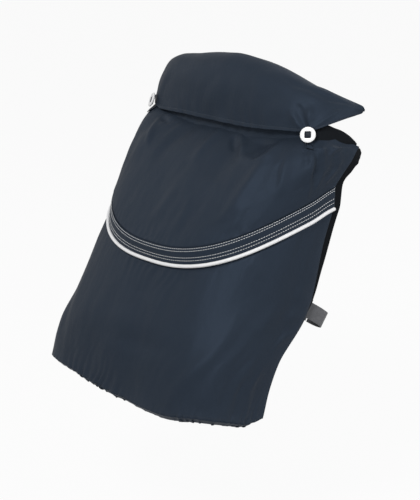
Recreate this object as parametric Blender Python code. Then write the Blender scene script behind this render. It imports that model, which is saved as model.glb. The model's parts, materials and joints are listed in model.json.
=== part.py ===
"""Leg cover for a pushchair: a fabric boot that hangs from the bumper bar and straps to the frame tubes.

Metres, +Z up, the cover's front faces -Y. The origin is the centre line of the bumper bar at mid width.
The cover is symmetric about X = 0, and "left" is the child's left, at +X.
"""

import math
from dataclasses import dataclass
from functools import lru_cache

import bmesh
import bpy
from mathutils import Matrix, Vector

# The bumper bar that the cover hangs on, and the frame tube that each strap goes round
BAR_RADIUS = 0.0150
BAR_CLEARANCE = 0.0005
BAR_HALF_SPAN = 0.2100
BAR_SWEEP_BACK = 0.0640
BAR_DROP = 0.0640
TUBE_RADIUS = 0.0125
TUBE_CENTRE = Vector((0.1920, -0.0204, -0.3577))
TUBE_SLOPE = Vector((0.0, -0.335, -0.942)).normalized()

# Fabric layers, from the outside in
SHELL_THICKNESS = 0.0014
LINING_THICKNESS = 0.0010
BAND_THICKNESS = 0.0020
LAYER_GAP = 0.0003
LINING_GAP = 0.0012
SEAM_GAP = 0.0004
PIPING_DIAMETER = 0.0056

# Flap
FLAP_CLEARANCE = 0.0005
FLAP_ROLL_DEGREES = 25.0
FLAP_HEM_STAND_OFF = 0.0070
FLAP_HEM_WIDTH = 0.0090
FLAP_HEM_THICKNESS = 0.0008
FLAP_ACROSS = 0.975
FLAP_LENGTH = 0.110
FLAP_LINING_FOOT = 0.985  # as a share of the flap's length
FLAP_HINGE = Vector((0.0, 0.0640, -0.0440))
FLAP_TIP_RISE = 0.0100
FLAP_TIP_FORWARD = 0.0040
FLAP_TIP_INSET = 0.0100

# Bar wrap
WRAP_ACROSS = 0.600
WRAP_FOOT = 0.965
WRAP_SEAM = 0.0080  # as a share of the wrap's length
WRAP_BACK_LENGTH = 0.0220

# Lining
LINING_TOP = 0.0060

# Ring buttons
BUTTON_DIAMETER = 0.0258
BUTTON_THICKNESS = 0.0030
BUTTON_EDGE_ROUND = 0.0011
BUTTON_HOLE = 0.0102
BUTTON_TURN_DEGREES = 13.0
BUTTON_TILT_DEGREES = 8.0
BUTTON_ACROSS = 0.6650  # as a share from mid front to the back edge
BUTTON_BELOW_HEM = 0.0050
CORE_CLEARANCE = 0.0004
CORE_PROUD = 0.0004
TONGUE_WIDTH = 0.0150
TONGUE_LENGTH = 0.0170
TONGUE_THICKNESS = 0.0010
TONGUE_BELOW_CENTRE = 0.0075

# Snaps behind the flap, and the box-stitched tabs that carry their studs
SNAP_RISE = 0.0020
STUD_BASE_DIAMETER = 0.0120
STUD_BASE_HEIGHT = 0.0008
STUD_DIAMETER = 0.0036
STUD_HEIGHT = 0.0014
SOCKET_DIAMETER = 0.0130
SOCKET_BORE = 0.0092
SOCKET_HEIGHT = 0.0014
SOCKET_LINING_GAP = 0.0014
TAB_WIDTH = 0.0135
TAB_THICKNESS = 0.0010
TAB_LIFT = 0.0006
TAB_FOOT_ACROSS = 0.7050
TAB_FOOT_DOWN = 0.0300
TAB_BEND_ACROSS = 0.6550
TAB_BEND_DOWN = 0.0120
TAB_STRAIGHT_BELOW = 0.0040
TAB_ABOVE_SNAP = 0.0075

# Hem and its elastic
HEM_DEPTH = 0.0150
HEM_TUCK_DEGREES = 58.0
ELASTIC_WIDTH = 0.0080
ELASTIC_THICKNESS = 0.0014

# Frame straps of hook and loop webbing
STRAP_WIDTH = 0.0250
STRAP_THICKNESS = 0.0014
STRAP_CLEARANCE = 0.0014
STRAP_TILT_DEGREES = 17.0
STRAP_RUN = 0.0460
PAD_THICKNESS = 0.0010
PAD_LENGTH = 0.0162
PAD_OVERRUN = 0.0040
PAD_INSET = 0.0020
ANCHOR_LENGTH = 0.0165
ANCHOR_THICKNESS = 0.0010
ANCHOR_CLEARANCE = 0.0014
ANCHOR_MARGIN = 0.0020

# Dark facing behind each side edge
FACING_WIDTH_TOP = 0.0200
FACING_WIDTH_FOOT = 0.0080
FACING_THICKNESS = 0.0010
FACING_LEAN = 0.35
FACING_GAP = 0.0011
FACING_TOP = 0.0040
FACING_STRAP_GAP = 0.0240

# How finely the fabric is divided
SHELL_COLUMNS = 38
FLAP_COLUMNS = 38
SWEEP_STEPS = 40


@dataclass(frozen=True)
class Station:
    """One horizontal turn of fabric: a squared-off half oval from back edge round the front to back edge."""

    down: float  # distance below the top edge, along the front
    half_width: float
    squareness: float
    front_y: float
    back_y: float
    front_z: float
    side_rise: float  # how much higher the back edge is than the front, before the sag
    side_sag: float


TOP = Station(0.000, 0.2000, 3.60, -0.041, 0.060, -0.088, 0.075, -0.085)
PUFF = Station(0.070, 0.2030, 3.30, -0.100, 0.044, -0.132, 0.095, -0.080)
BAND_TOP = Station(0.224, 0.2010, 2.42, -0.192, 0.009, -0.247, 0.137, -0.052)
BAND_FOOT = Station(0.250, 0.2010, 2.56, -0.195, 0.007, -0.272, 0.132, -0.054)
PIPING_FOOT = Station(0.256, 0.2010, 2.58, -0.196, 0.006, -0.278, 0.131, -0.053)
STRAP_LEVEL = Station(0.354, 0.2060, 3.30, -0.248, -0.056, -0.371, 0.050, -0.025)
CALF = Station(0.398, 0.2070, 3.70, -0.262, -0.113, -0.412, 0.012, -0.006)
HEM = Station(0.462, 0.2070, 4.30, -0.274, -0.145, -0.468, -0.045, 0.029)
STATIONS = (TOP, PUFF, BAND_TOP, BAND_FOOT, PIPING_FOOT, STRAP_LEVEL, CALF, HEM)

# The flap's lower edge is higher at the sides than the panel's, which leaves the side opening
FLAP_EDGE = Station(
    down=0.000,
    half_width=BAR_HALF_SPAN - FLAP_TIP_INSET,
    squareness=3.60,
    front_y=-0.041,
    back_y=BAR_SWEEP_BACK - FLAP_TIP_FORWARD,
    front_z=-0.083,
    side_rise=0.110 - BAR_DROP + FLAP_TIP_RISE,
    side_sag=-0.027,
)


@dataclass(frozen=True)
class Fold:
    """A soft ridge or valley that runs down the fabric."""

    across: float  # -1 at the right back edge, +1 at the left
    across_foot: float
    width: float
    top: float
    foot: float
    height: float


FOLDS = (
    Fold(-0.42, -0.46, 0.060, -0.02, 0.130, 0.0040),
    Fold(-0.22, -0.25, 0.050, -0.02, 0.100, -0.0030),
    Fold(0.02, 0.00, 0.035, -0.02, 0.080, 0.0035),
    Fold(0.22, 0.20, 0.070, 0.00, 0.100, -0.0050),
    Fold(0.50, 0.38, 0.045, 0.00, 0.180, 0.0045),
    Fold(0.76, 0.72, 0.050, 0.01, 0.150, 0.0040),
    Fold(-0.55, -0.50, 0.060, 0.290, 0.440, -0.0030),
    Fold(0.05, -0.05, 0.090, 0.300, 0.450, 0.0035),
    Fold(0.62, 0.42, 0.055, 0.310, 0.462, 0.0045),
)


def clear_scene():
    """Empties the file, so that the script always starts from the same place."""
    for found in list(bpy.data.objects):
        bpy.data.objects.remove(found, do_unlink=True)


def make_material(name, colour, roughness, metallic=0.0):
    """A plain Principled material."""
    material = bpy.data.materials.new(name)
    material.use_nodes = True
    shader = material.node_tree.nodes["Principled BSDF"]
    shader.inputs["Base Color"].default_value = (*colour, 1.0)
    shader.inputs["Roughness"].default_value = roughness
    shader.inputs["Metallic"].default_value = metallic
    return material


def add_object(name, mesh_builder, material, parent=None):
    """Links a new object made from a bmesh, with its outward faces recalculated."""
    mesh = bpy.data.meshes.new(name)
    bmesh.ops.recalc_face_normals(mesh_builder, faces=mesh_builder.faces)
    mesh_builder.to_mesh(mesh)
    mesh_builder.free()
    mesh.shade_smooth()
    mesh.set_sharp_from_angle(angle=math.radians(40))
    mesh.materials.append(material)
    made = bpy.data.objects.new(name, mesh)
    bpy.context.scene.collection.objects.link(made)
    if parent is not None:
        made.parent = parent
        made.matrix_parent_inverse = parent.matrix_world.inverted()
    return made


def add_pivot(name, place):
    """An empty on a joint's axis, which the moving pieces hang from."""
    pivot = bpy.data.objects.new(name, None)
    pivot.location = place
    bpy.context.scene.collection.objects.link(pivot)
    bpy.context.view_layer.update()
    return pivot


def smooth_step(share):
    """0 below 0, 1 above 1, with soft ends."""
    share = min(1.0, max(0.0, share))
    return share * share * (3.0 - 2.0 * share)


def between(low, high, share):
    """The value a share of the way from low to high."""
    return low + (high - low) * share


@lru_cache(maxsize=None)
def station_at(down):
    """The turn of fabric at a distance below the top edge, on a smooth curve through the stations."""
    down = min(HEM.down, max(TOP.down, down))
    index = max(i for i in range(len(STATIONS) - 1) if STATIONS[i].down <= down)
    start, end = STATIONS[index], STATIONS[index + 1]
    before = STATIONS[max(0, index - 1)]
    after = STATIONS[min(len(STATIONS) - 1, index + 2)]
    span = end.down - start.down
    t = (down - start.down) / span
    values = []
    for field in ("half_width", "squareness", "front_y", "back_y", "front_z", "side_rise", "side_sag"):
        a, b = getattr(start, field), getattr(end, field)
        slope_in = (b - getattr(before, field)) / (end.down - before.down)
        slope_out = (getattr(after, field) - a) / (after.down - start.down)
        values.append(
            a * (1 - 3 * t * t + 2 * t**3)
            + b * (3 * t * t - 2 * t**3)
            + span * slope_in * (t - 2 * t * t + t**3)
            + span * slope_out * (t**3 - t * t)
        )
    return Station(down, *values)


@lru_cache(maxsize=None)
def turn_points(station, samples=240):
    """Points round one turn with the length along it, from the right back edge to the left one."""
    depth = station.back_y - station.front_y
    points, lengths = [], [0.0]
    for step in range(samples + 1):
        angle = math.pi * (step / samples - 0.5)
        side, front = abs(math.sin(angle)) / station.half_width, abs(math.cos(angle)) / depth
        radius = (side**station.squareness + front**station.squareness) ** (-1.0 / station.squareness)
        x, y = radius * math.sin(angle), station.back_y - radius * math.cos(angle)
        share = (y - station.front_y) / depth
        z = station.front_z + station.side_rise * share + station.side_sag * share * share
        points.append(Vector((x, y, z)))
        if step:
            lengths.append(lengths[-1] + (points[-1] - points[-2]).length)
    return points, lengths


def on_turn(station, across):
    """The point at a share across a turn, from -1 to 1, evenly spaced by length."""
    points, lengths = turn_points(station)
    target = (across + 1.0) / 2.0 * lengths[-1]
    low, high = 0, len(lengths) - 1
    while high - low > 1:
        middle = (low + high) // 2
        low, high = (middle, high) if lengths[middle] <= target else (low, middle)
    share = (target - lengths[low]) / (lengths[high] - lengths[low])
    return points[low].lerp(points[high], share)


def fold_height(across, down):
    """How far the folds push the fabric out at a place."""
    total = 0.0
    for fold in FOLDS:
        if not fold.top < down < fold.foot:
            continue
        share = (down - fold.top) / (fold.foot - fold.top)
        centre = between(fold.across, fold.across_foot, share)
        fade = math.sin(math.pi * share) ** 0.8
        total += fold.height * fade * math.exp(-(((across - centre) / fold.width) ** 2))
    return total


def shell_normal(across, down):
    """The outward direction of the shell."""
    step = 0.01
    level = station_at(down)
    left = on_turn(level, min(1.0, across + step)) - on_turn(level, max(-1.0, across - step))
    drop = on_turn(station_at(down + step), across) - on_turn(station_at(max(0.0, down - step)), across)
    return drop.cross(left).normalized()


def shell_point(across, down, lift=0.0):
    """A point on the cover's shell, lifted outwards from its outer face."""
    base = on_turn(station_at(down), across)
    return base + shell_normal(across, down) * (lift + fold_height(across, down))


def bar_centre(x):
    """The bumper bar's centre line: it bows forward and up towards the middle."""
    share = min(1.0, abs(x) / BAR_HALF_SPAN)
    return Vector((x, BAR_SWEEP_BACK * share**6, -BAR_DROP * share**2.3))


def sheet_solid(name, place, across_range, rows, columns, outer_lift, thickness, material, parent=None):
    """A closed sheet of fabric. place(across, along, lift) gives its faces; rows lists along, top first."""
    made = bmesh.new()
    bmesh.ops.create_grid(made, x_segments=columns, y_segments=len(rows) - 1, size=1.0)
    shares = {}
    for vertex in made.verts:
        row = round((1.0 - vertex.co.y) / 2.0 * (len(rows) - 1))
        shares[vertex] = (between(*across_range, (vertex.co.x + 1.0) / 2.0), rows[row])
    rim = [edge for edge in made.edges if edge.is_boundary]
    copied = bmesh.ops.duplicate(made, geom=made.verts[:] + made.edges[:] + made.faces[:])
    inner = copied["vert_map"]
    for vertex, (across, along) in shares.items():
        vertex.co = place(across, along, outer_lift)
        inner[vertex].co = place(across, along, outer_lift - thickness)
    for edge in rim:
        start, end = edge.verts
        made.faces.new((start, end, inner[end], inner[start]))
    backs = [face for face in copied["geom"] if isinstance(face, bmesh.types.BMFace)]
    bmesh.ops.reverse_faces(made, faces=backs)
    return add_object(name, made, material, parent)


def spread(start, end, steps):
    """Evenly spaced values from start to end, both included."""
    return [between(start, end, i / steps) for i in range(steps + 1)]


def sweep_solid(name, section, frames, material):
    """A closed section carried along frames of (place, outward, downward), with a cap at each end."""
    made = bmesh.new()
    rings = []
    for place, outward, downward in frames:
        rings.append([made.verts.new(place + outward * out + downward * low) for out, low in section])
    for ring, following in zip(rings, rings[1:]):
        for i in range(len(section)):
            j = (i + 1) % len(section)
            made.faces.new((ring[i], ring[j], following[j], following[i]))
    made.faces.new(rings[0])
    made.faces.new(list(reversed(rings[-1])))
    bmesh.ops.triangulate(made, faces=[face for face in made.faces if len(face.verts) > 4])
    return add_object(name, made, material)


def shell_frames(down, lift, steps, tuck=0.0):
    """Frames round one turn of the shell, tucked inwards by an angle."""
    frames = []
    for step in range(steps + 1):
        across = between(-1.0, 1.0, step / steps)
        outward = shell_normal(across, down)
        along = shell_point(min(1.0, across + 0.01), down) - shell_point(max(-1.0, across - 0.01), down)
        downward = along.cross(outward).normalized()
        turn = Matrix.Rotation(tuck, 3, along.normalized())
        frames.append((shell_point(across, down, lift), turn @ outward, turn @ downward))
    return frames


def ribbon_solid(name, path, thickness, axis, width, material, parent=None):
    """A flat strap: a path in one plane, thickened to its left and extruded along the plane's axis."""
    made = bmesh.new()
    sides = []
    for index, point in enumerate(path):
        ahead = path[min(len(path) - 1, index + 1)] - path[max(0, index - 1)]
        normal = axis.cross(ahead).normalized()
        sides.append((point, point + normal * thickness))
    outline = [side[0] for side in sides] + [side[1] for side in reversed(sides)]
    half = axis * (width / 2.0)
    count, last = len(sides), 2 * len(sides) - 1
    low = [made.verts.new(point - half) for point in outline]
    high = [made.verts.new(point + half) for point in outline]
    for i in range(last + 1):
        j = (i + 1) % (last + 1)
        made.faces.new((low[i], low[j], high[j], high[i]))
    for i in range(count - 1):
        for rim in (low, high):
            made.faces.new((rim[i], rim[i + 1], rim[last - i - 1], rim[last - i]))
    return add_object(name, made, material, parent)


def turned_solid(name, profile, place, turn, sides, material, parent=None):
    """A round piece spun from (radius, height) points that run round a closed or axis-ended profile."""
    made = bmesh.new()
    chain = [made.verts.new((radius, 0.0, height)) for radius, height in profile]
    edges = [made.edges.new(pair) for pair in zip(chain, chain[1:] + chain[:1])]
    bmesh.ops.spin(
        made, geom=chain + edges, cent=(0, 0, 0), axis=(0, 0, 1), angle=math.tau, steps=sides, use_merge=True
    )
    bmesh.ops.remove_doubles(made, verts=made.verts, dist=1e-6)
    bmesh.ops.transform(made, matrix=Matrix.Translation(place) @ turn.to_4x4(), verts=made.verts)
    return add_object(name, made, material, parent)


def block_solid(name, size, place, turn, material, parent=None, corner=0.0):
    """A flat rectangular piece with rounded upright corners, standing from 0 to its height."""
    made = bmesh.new()
    bmesh.ops.create_cube(made, size=1.0)
    bmesh.ops.scale(made, vec=size, verts=made.verts)
    bmesh.ops.translate(made, vec=(0, 0, size[2] / 2.0), verts=made.verts)
    if corner:
        upright = [e for e in made.edges if abs(e.verts[0].co.z - e.verts[1].co.z) > size[2] / 2.0]
        bmesh.ops.bevel(
            made, geom=upright, offset=corner, segments=3, profile=0.5, affect="EDGES", material=-1
        )
    bmesh.ops.transform(made, matrix=Matrix.Translation(place) @ turn.to_4x4(), verts=made.verts)
    return add_object(name, made, material, parent)


def side_name(word, side):
    """The name of one of a mirrored pair."""
    return f"{word}_left" if side > 0 else f"{word}_right"


def crest_radius(across):
    """Radius of the fabric over the bar, which shrinks to a pinched tip at each end of the flap."""
    full = BAR_RADIUS + BAR_CLEARANCE + SHELL_THICKNESS
    return between(full, 0.35 * full, smooth_step((abs(across) - 0.80) / 0.20))


def flap_base(across, along):
    """The bar wrap's outer face under the flap, from the bar's crest at 0 to the lower edge at 1."""
    edge = on_turn(FLAP_EDGE, across)
    crest_x = BAR_HALF_SPAN * math.copysign(1.0 - max(0.0, 1.0 - abs(across)) ** 1.6, across)
    crest = bar_centre(crest_x) + Vector((0, 0, crest_radius(0.0)))
    reach = 0.45 * (crest - edge).length
    forward = Vector((edge.x - crest.x, edge.y - crest.y, 0.0)).normalized()
    first = crest + forward * reach * 0.75 - Vector((0, 0, 0.08 * reach))
    rise = ((crest - edge).normalized() + Vector((0, 0, 0.8))).normalized()
    second = edge + rise * reach * 0.8 + forward * reach * 0.10
    t, u = along, 1.0 - along
    return crest * u**3 + first * (3 * t * u * u) + second * (3 * t * t * u) + edge * t**3


def flap_normal(across, along):
    """The outward direction of the surface under the flap."""
    step = 0.01
    left = flap_base(min(1.0, across + step), along) - flap_base(max(-1.0, across - step), along)
    drop = flap_base(across, min(1.0, along + step)) - flap_base(across, max(0.0, along - step))
    return drop.cross(left).normalized()


def flap_stand_off(along):
    """How far the flap stands off the wrap: close at the bar and further out at the lower edge."""
    return between(FLAP_CLEARANCE, FLAP_HEM_STAND_OFF, smooth_step(along))


def flap_point(across, along, lift):
    """A point on the flap. Below 0 it rolls back over the bar, and from 0 to 1 it goes down to the edge."""
    if along >= 0.0:
        return flap_base(across, along) + flap_normal(across, along) * (flap_stand_off(along) + lift)
    pinch = smooth_step((abs(across) - 0.75) / 0.25)
    angle = math.radians(FLAP_ROLL_DEGREES) * between(1.0, 0.5, pinch) * -along
    upward = flap_normal(across, 0.0)
    crest_line = flap_base(min(1.0, across + 0.01), 0.0) - flap_base(max(-1.0, across - 0.01), 0.0)
    backward = upward.cross(crest_line).normalized()
    radius = crest_radius(across)
    centre = flap_base(across, 0.0) - upward * radius
    outward = upward * math.cos(angle) + backward * math.sin(angle)
    return centre + outward * (radius + FLAP_CLEARANCE + lift)


def wrap_point(across, along, lift):
    """The bar wrap: from the panel's top edge at 1, up over the bar at 0, and down behind it to -1."""
    if along >= 0.0:
        return flap_base(across, along) + flap_normal(across, along) * lift
    quarter = 0.5
    centre, radius = bar_centre(flap_base(across, 0.0).x), crest_radius(0.0) + lift
    if along > -quarter:
        angle = math.radians(90.0) * (-along / quarter)
        return centre + Vector((0, math.sin(angle), math.cos(angle))) * radius
    tail = (-along - quarter) / (1.0 - quarter)
    return centre + Vector((0, radius, -WRAP_BACK_LENGTH * tail))


def build_shell(fabric, dark, white):
    """The outer panels, the band with its piping, and the lining behind them all."""
    sides = (-1.0, 1.0)
    upper = spread(TOP.down, BAND_TOP.down - SEAM_GAP, 10)
    band = spread(BAND_TOP.down, BAND_FOOT.down - SEAM_GAP, 2)
    lower = spread(PIPING_FOOT.down, HEM.down, 9)
    band_lift = BAND_THICKNESS - SHELL_THICKNESS
    sheet_solid("upper_panel", shell_point, sides, upper, SHELL_COLUMNS, 0.0, SHELL_THICKNESS, fabric)
    sheet_solid("trim_band", shell_point, sides, band, SHELL_COLUMNS, band_lift, BAND_THICKNESS, fabric)
    sheet_solid("lower_panel", shell_point, sides, lower, SHELL_COLUMNS, 0.0, SHELL_THICKNESS, fabric)
    behind = -SHELL_THICKNESS - LINING_GAP
    lining = upper[1::2] + [band[0], band[-1]] + lower[::2]
    lining[0] = LINING_TOP
    sheet_solid("lining", shell_point, sides, lining, SHELL_COLUMNS, behind, LINING_THICKNESS, dark)

    radius = PIPING_DIAMETER / 2.0
    lift = radius - SHELL_THICKNESS
    middle = (BAND_FOOT.down + PIPING_FOOT.down) / 2.0
    round_section = [
        (radius * math.cos(math.tau * i / 8), radius * math.sin(math.tau * i / 8)) for i in range(8)
    ]
    sweep_solid("piping", round_section, shell_frames(middle, lift, SWEEP_STEPS), white)


def build_hem(fabric, elastic):
    """The folded casing along the lower edge and the elastic that draws it in."""
    wall, room = SHELL_THICKNESS, ELASTIC_THICKNESS + 2 * LAYER_GAP
    depth, bend, tuck = HEM_DEPTH, 0.0012, math.radians(HEM_TUCK_DEGREES)
    inner_wall = -wall - room
    outer_start = SEAM_GAP / math.cos(tuck)
    inner_start = outer_start + wall * math.tan(tuck)
    casing = [
        (0.0, outer_start),
        (0.0, depth - bend),
        (-bend, depth),
        (inner_wall - wall + bend, depth),
        (inner_wall - wall, depth - bend),
        (inner_wall - wall, 0.0045),
        (inner_wall, 0.0045),
        (inner_wall, depth - wall - bend / 2),
        (-wall, depth - wall - bend / 2),
        (-wall, inner_start),
    ]
    frames = shell_frames(HEM.down, 0.0, SWEEP_STEPS, tuck)
    sweep_solid("hem_casing", casing, frames, fabric)
    outer, inner = -wall - LAYER_GAP, inner_wall + LAYER_GAP
    foot = depth - wall - bend / 2 - LAYER_GAP
    band = [(outer, foot - ELASTIC_WIDTH), (outer, foot), (inner, foot), (inner, foot - ELASTIC_WIDTH)]
    sweep_solid("hem_elastic", band, frames, elastic)


def build_wrap(fabric):
    """The extension of the shell that goes up to the bar's crest, and the facing that hooks over the bar."""
    sides = (-WRAP_ACROSS, WRAP_ACROSS)
    front = spread(WRAP_SEAM / 2.0, WRAP_FOOT, 7)
    back = [-1.0, -0.75] + spread(-0.5, -WRAP_SEAM / 2.0, 5)
    sheet_solid("bar_wrap", wrap_point, sides, front, 26, 0.0, SHELL_THICKNESS, fabric)
    sheet_solid("bar_facing", wrap_point, sides, back, 26, 0.0, SHELL_THICKNESS, fabric)


def build_flap(fabric, dark, pivot):
    """The flap's outer cloth, its lining and the doubled strip along its edge."""
    outer_lift = LINING_THICKNESS + LAYER_GAP + SHELL_THICKNESS
    hem_lift = outer_lift + LAYER_GAP + FLAP_HEM_THICKNESS
    sides = (-FLAP_ACROSS, FLAP_ACROSS)
    strip = 1.0 - FLAP_HEM_WIDTH / FLAP_LENGTH
    roll, cloth = spread(-1.0, 0.0, 3), spread(0.0, strip, 7)[1:]
    rows = roll + cloth + [1.0]
    backing = rows[1:-1] + [FLAP_LINING_FOOT]
    layers = (
        ("flap_outer", rows, outer_lift, SHELL_THICKNESS, fabric),
        ("flap_lining", backing, LINING_THICKNESS, LINING_THICKNESS, dark),
        ("flap_hem", [strip, 1.0], hem_lift, FLAP_HEM_THICKNESS, fabric),
    )
    for name, lines, lift, thickness, material in layers:
        sheet_solid(name, flap_point, sides, lines, FLAP_COLUMNS, lift, thickness, material, pivot)


def button_seat(side):
    """Place and turn of a button at the flap's edge: +Z stands out of the cloth and +Y points up it."""
    across = side * BUTTON_ACROSS
    place = flap_point(across, 1.0, 0.0)
    outward = flap_normal(across, 1.0)
    upward = flap_point(across, 0.94, 0.0) - place
    upward = (upward - outward * upward.dot(outward)).normalized()
    turn = Matrix((upward.cross(outward), upward, outward)).transposed()
    return place, turn


def tab_frames(side, place, turn, level):
    """Frames up the tab, which is sewn to the panel at its foot and stands up behind the flap's edge."""
    right, outward = turn @ Vector((1, 0, 0)), turn @ Vector((0, 0, 1))
    spots = []
    for share in spread(0.0, 1.0, 4):
        across = side * between(TAB_FOOT_ACROSS, TAB_BEND_ACROSS, share)
        down = between(TAB_FOOT_DOWN, TAB_BEND_DOWN, share)
        spots.append((shell_point(across, down, TAB_LIFT), shell_normal(across, down)))
    straight = place + turn @ Vector((0, -TAB_STRAIGHT_BELOW, level))
    spots.append((spots[-1][0].lerp(straight, 0.5), (spots[-1][1] + outward).normalized()))
    spots.append((straight, outward))
    for rise in (SNAP_RISE, SNAP_RISE + TAB_ABOVE_SNAP):
        spots.append((place + turn @ Vector((0, rise, level)), outward))
    return [(spot, normal, (right - normal * right.dot(normal)).normalized()) for spot, normal in spots]


def build_snap(side, place, turn, materials, pivot):
    """The stud on its sewn tab, and the socket behind the flap that it closes into."""
    fabric, steel = materials

    def stack(height):
        return place + turn @ Vector((0, SNAP_RISE, height))

    socket_foot = -SOCKET_LINING_GAP - SOCKET_HEIGHT
    bore, rim = SOCKET_BORE / 2.0, SOCKET_DIAMETER / 2.0
    socket = [(bore, 0), (rim, 0), (rim, SOCKET_HEIGHT), (bore, SOCKET_HEIGHT)]
    turned_solid(side_name("snap_socket", side), socket, stack(socket_foot), turn, 20, steel, pivot)
    stud_foot = socket_foot - LAYER_GAP - STUD_BASE_HEIGHT
    base, post = STUD_BASE_DIAMETER / 2.0, STUD_DIAMETER / 2.0
    top = STUD_BASE_HEIGHT + STUD_HEIGHT
    stud = [(0, 0), (base, 0), (base, STUD_BASE_HEIGHT), (post, STUD_BASE_HEIGHT), (post, top), (0, top)]
    turned_solid(side_name("snap_stud", side), stud, stack(stud_foot), turn, 16, steel)
    tab_foot = stud_foot - LAYER_GAP - TAB_THICKNESS
    half = TAB_WIDTH / 2.0
    section = [(0, -half), (TAB_THICKNESS, -half), (TAB_THICKNESS, half), (0, half)]
    sweep_solid(side_name("stitched_tab", side), section, tab_frames(side, place, turn, tab_foot), fabric)


def build_button(side, materials, pivot):
    """One ring button, held by a core on a small tongue that is sewn to the flap's edge."""
    fabric, white, dark, steel = materials
    place, turn = button_seat(side)
    build_snap(side, place, turn, (fabric, steel), pivot)

    tilt = math.radians(BUTTON_TILT_DEGREES)
    leaning = turn @ Matrix.Rotation(-tilt, 3, "X")
    flap_stack = LINING_THICKNESS + SHELL_THICKNESS + FLAP_HEM_THICKNESS + 3 * LAYER_GAP
    tongue_above = TONGUE_LENGTH - TONGUE_BELOW_CENTRE
    centre = place + turn @ Vector((0, -BUTTON_BELOW_HEM, flap_stack + tongue_above * math.sin(tilt)))

    def stack(height, rise=0.0):
        return centre + leaning @ Vector((0, rise, height))

    tongue_rise = TONGUE_LENGTH / 2.0 - TONGUE_BELOW_CENTRE
    tongue_size = (TONGUE_WIDTH, TONGUE_LENGTH, TONGUE_THICKNESS)
    tongue_name = side_name("button_tongue", side)
    block_solid(tongue_name, tongue_size, stack(0.0, tongue_rise), leaning, fabric, pivot, corner=0.001)
    level = TONGUE_THICKNESS + LAYER_GAP
    spun = leaning @ Matrix.Rotation(math.radians(BUTTON_TURN_DEGREES), 3, "Z")
    core = BUTTON_HOLE - 2 * CORE_CLEARANCE
    core_size = (core, core, BUTTON_THICKNESS + CORE_PROUD)
    block_solid(side_name("button_core", side), core_size, stack(level), spun, dark, pivot, corner=0.0008)
    build_ring(side_name("ring_button", side), stack(level), spun, white, pivot)


def build_ring(name, place, turn, material, pivot):
    """A flat round ring with a softened rim and a square hole."""
    made = bmesh.new()
    sides, half = 32, BUTTON_HOLE / 2.0
    radius, round_off = BUTTON_DIAMETER / 2.0, BUTTON_EDGE_ROUND
    levels = (
        (radius - round_off, 0.0),
        (radius, round_off * 0.8),
        (radius, BUTTON_THICKNESS - round_off),
        (radius - round_off, BUTTON_THICKNESS),
    )
    rings = []
    for size, height in levels:
        angles = [math.tau * (i + 0.5) / sides for i in range(sides)]
        rings.append([made.verts.new((size * math.cos(a), size * math.sin(a), height)) for a in angles])
    for lower, upper in zip(rings, rings[1:]):
        for i in range(sides):
            j = (i + 1) % sides
            made.faces.new((lower[i], lower[j], upper[j], upper[i]))
    square = []
    for height in (0.0, BUTTON_THICKNESS):
        hole = []
        for i in range(sides):
            angle = math.tau * (i + 0.5) / sides
            reach = half / max(abs(math.cos(angle)), abs(math.sin(angle)))
            hole.append(made.verts.new((reach * math.cos(angle), reach * math.sin(angle), height)))
        square.append(hole)
    for hole, rim, flip in ((square[0], rings[0], False), (square[1], rings[-1], True)):
        for i in range(sides):
            j = (i + 1) % sides
            face = (hole[i], hole[j], rim[j], rim[i])
            made.faces.new(face if flip else tuple(reversed(face)))
    for i in range(sides):
        j = (i + 1) % sides
        made.faces.new((square[0][j], square[0][i], square[1][i], square[1][j]))
    bmesh.ops.transform(made, matrix=Matrix.Translation(place) @ turn.to_4x4(), verts=made.verts)
    return add_object(name, made, material, pivot)


def strap_axis():
    """The direction down across the webbing's width, a little off the tube's own slope."""
    return Matrix.Rotation(math.radians(-STRAP_TILT_DEGREES), 3, "X") @ TUBE_SLOPE


def strap_place(side, out, back):
    """A point in the plane across the frame tube: out from its centre sideways, and back from it."""
    centre = Vector((side * TUBE_CENTRE.x, TUBE_CENTRE.y, TUBE_CENTRE.z))
    axis = strap_axis()
    rearward = Vector((0.0, -axis.z, axis.y))
    return centre + Vector((side * out, 0, 0)) + rearward * back


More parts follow.
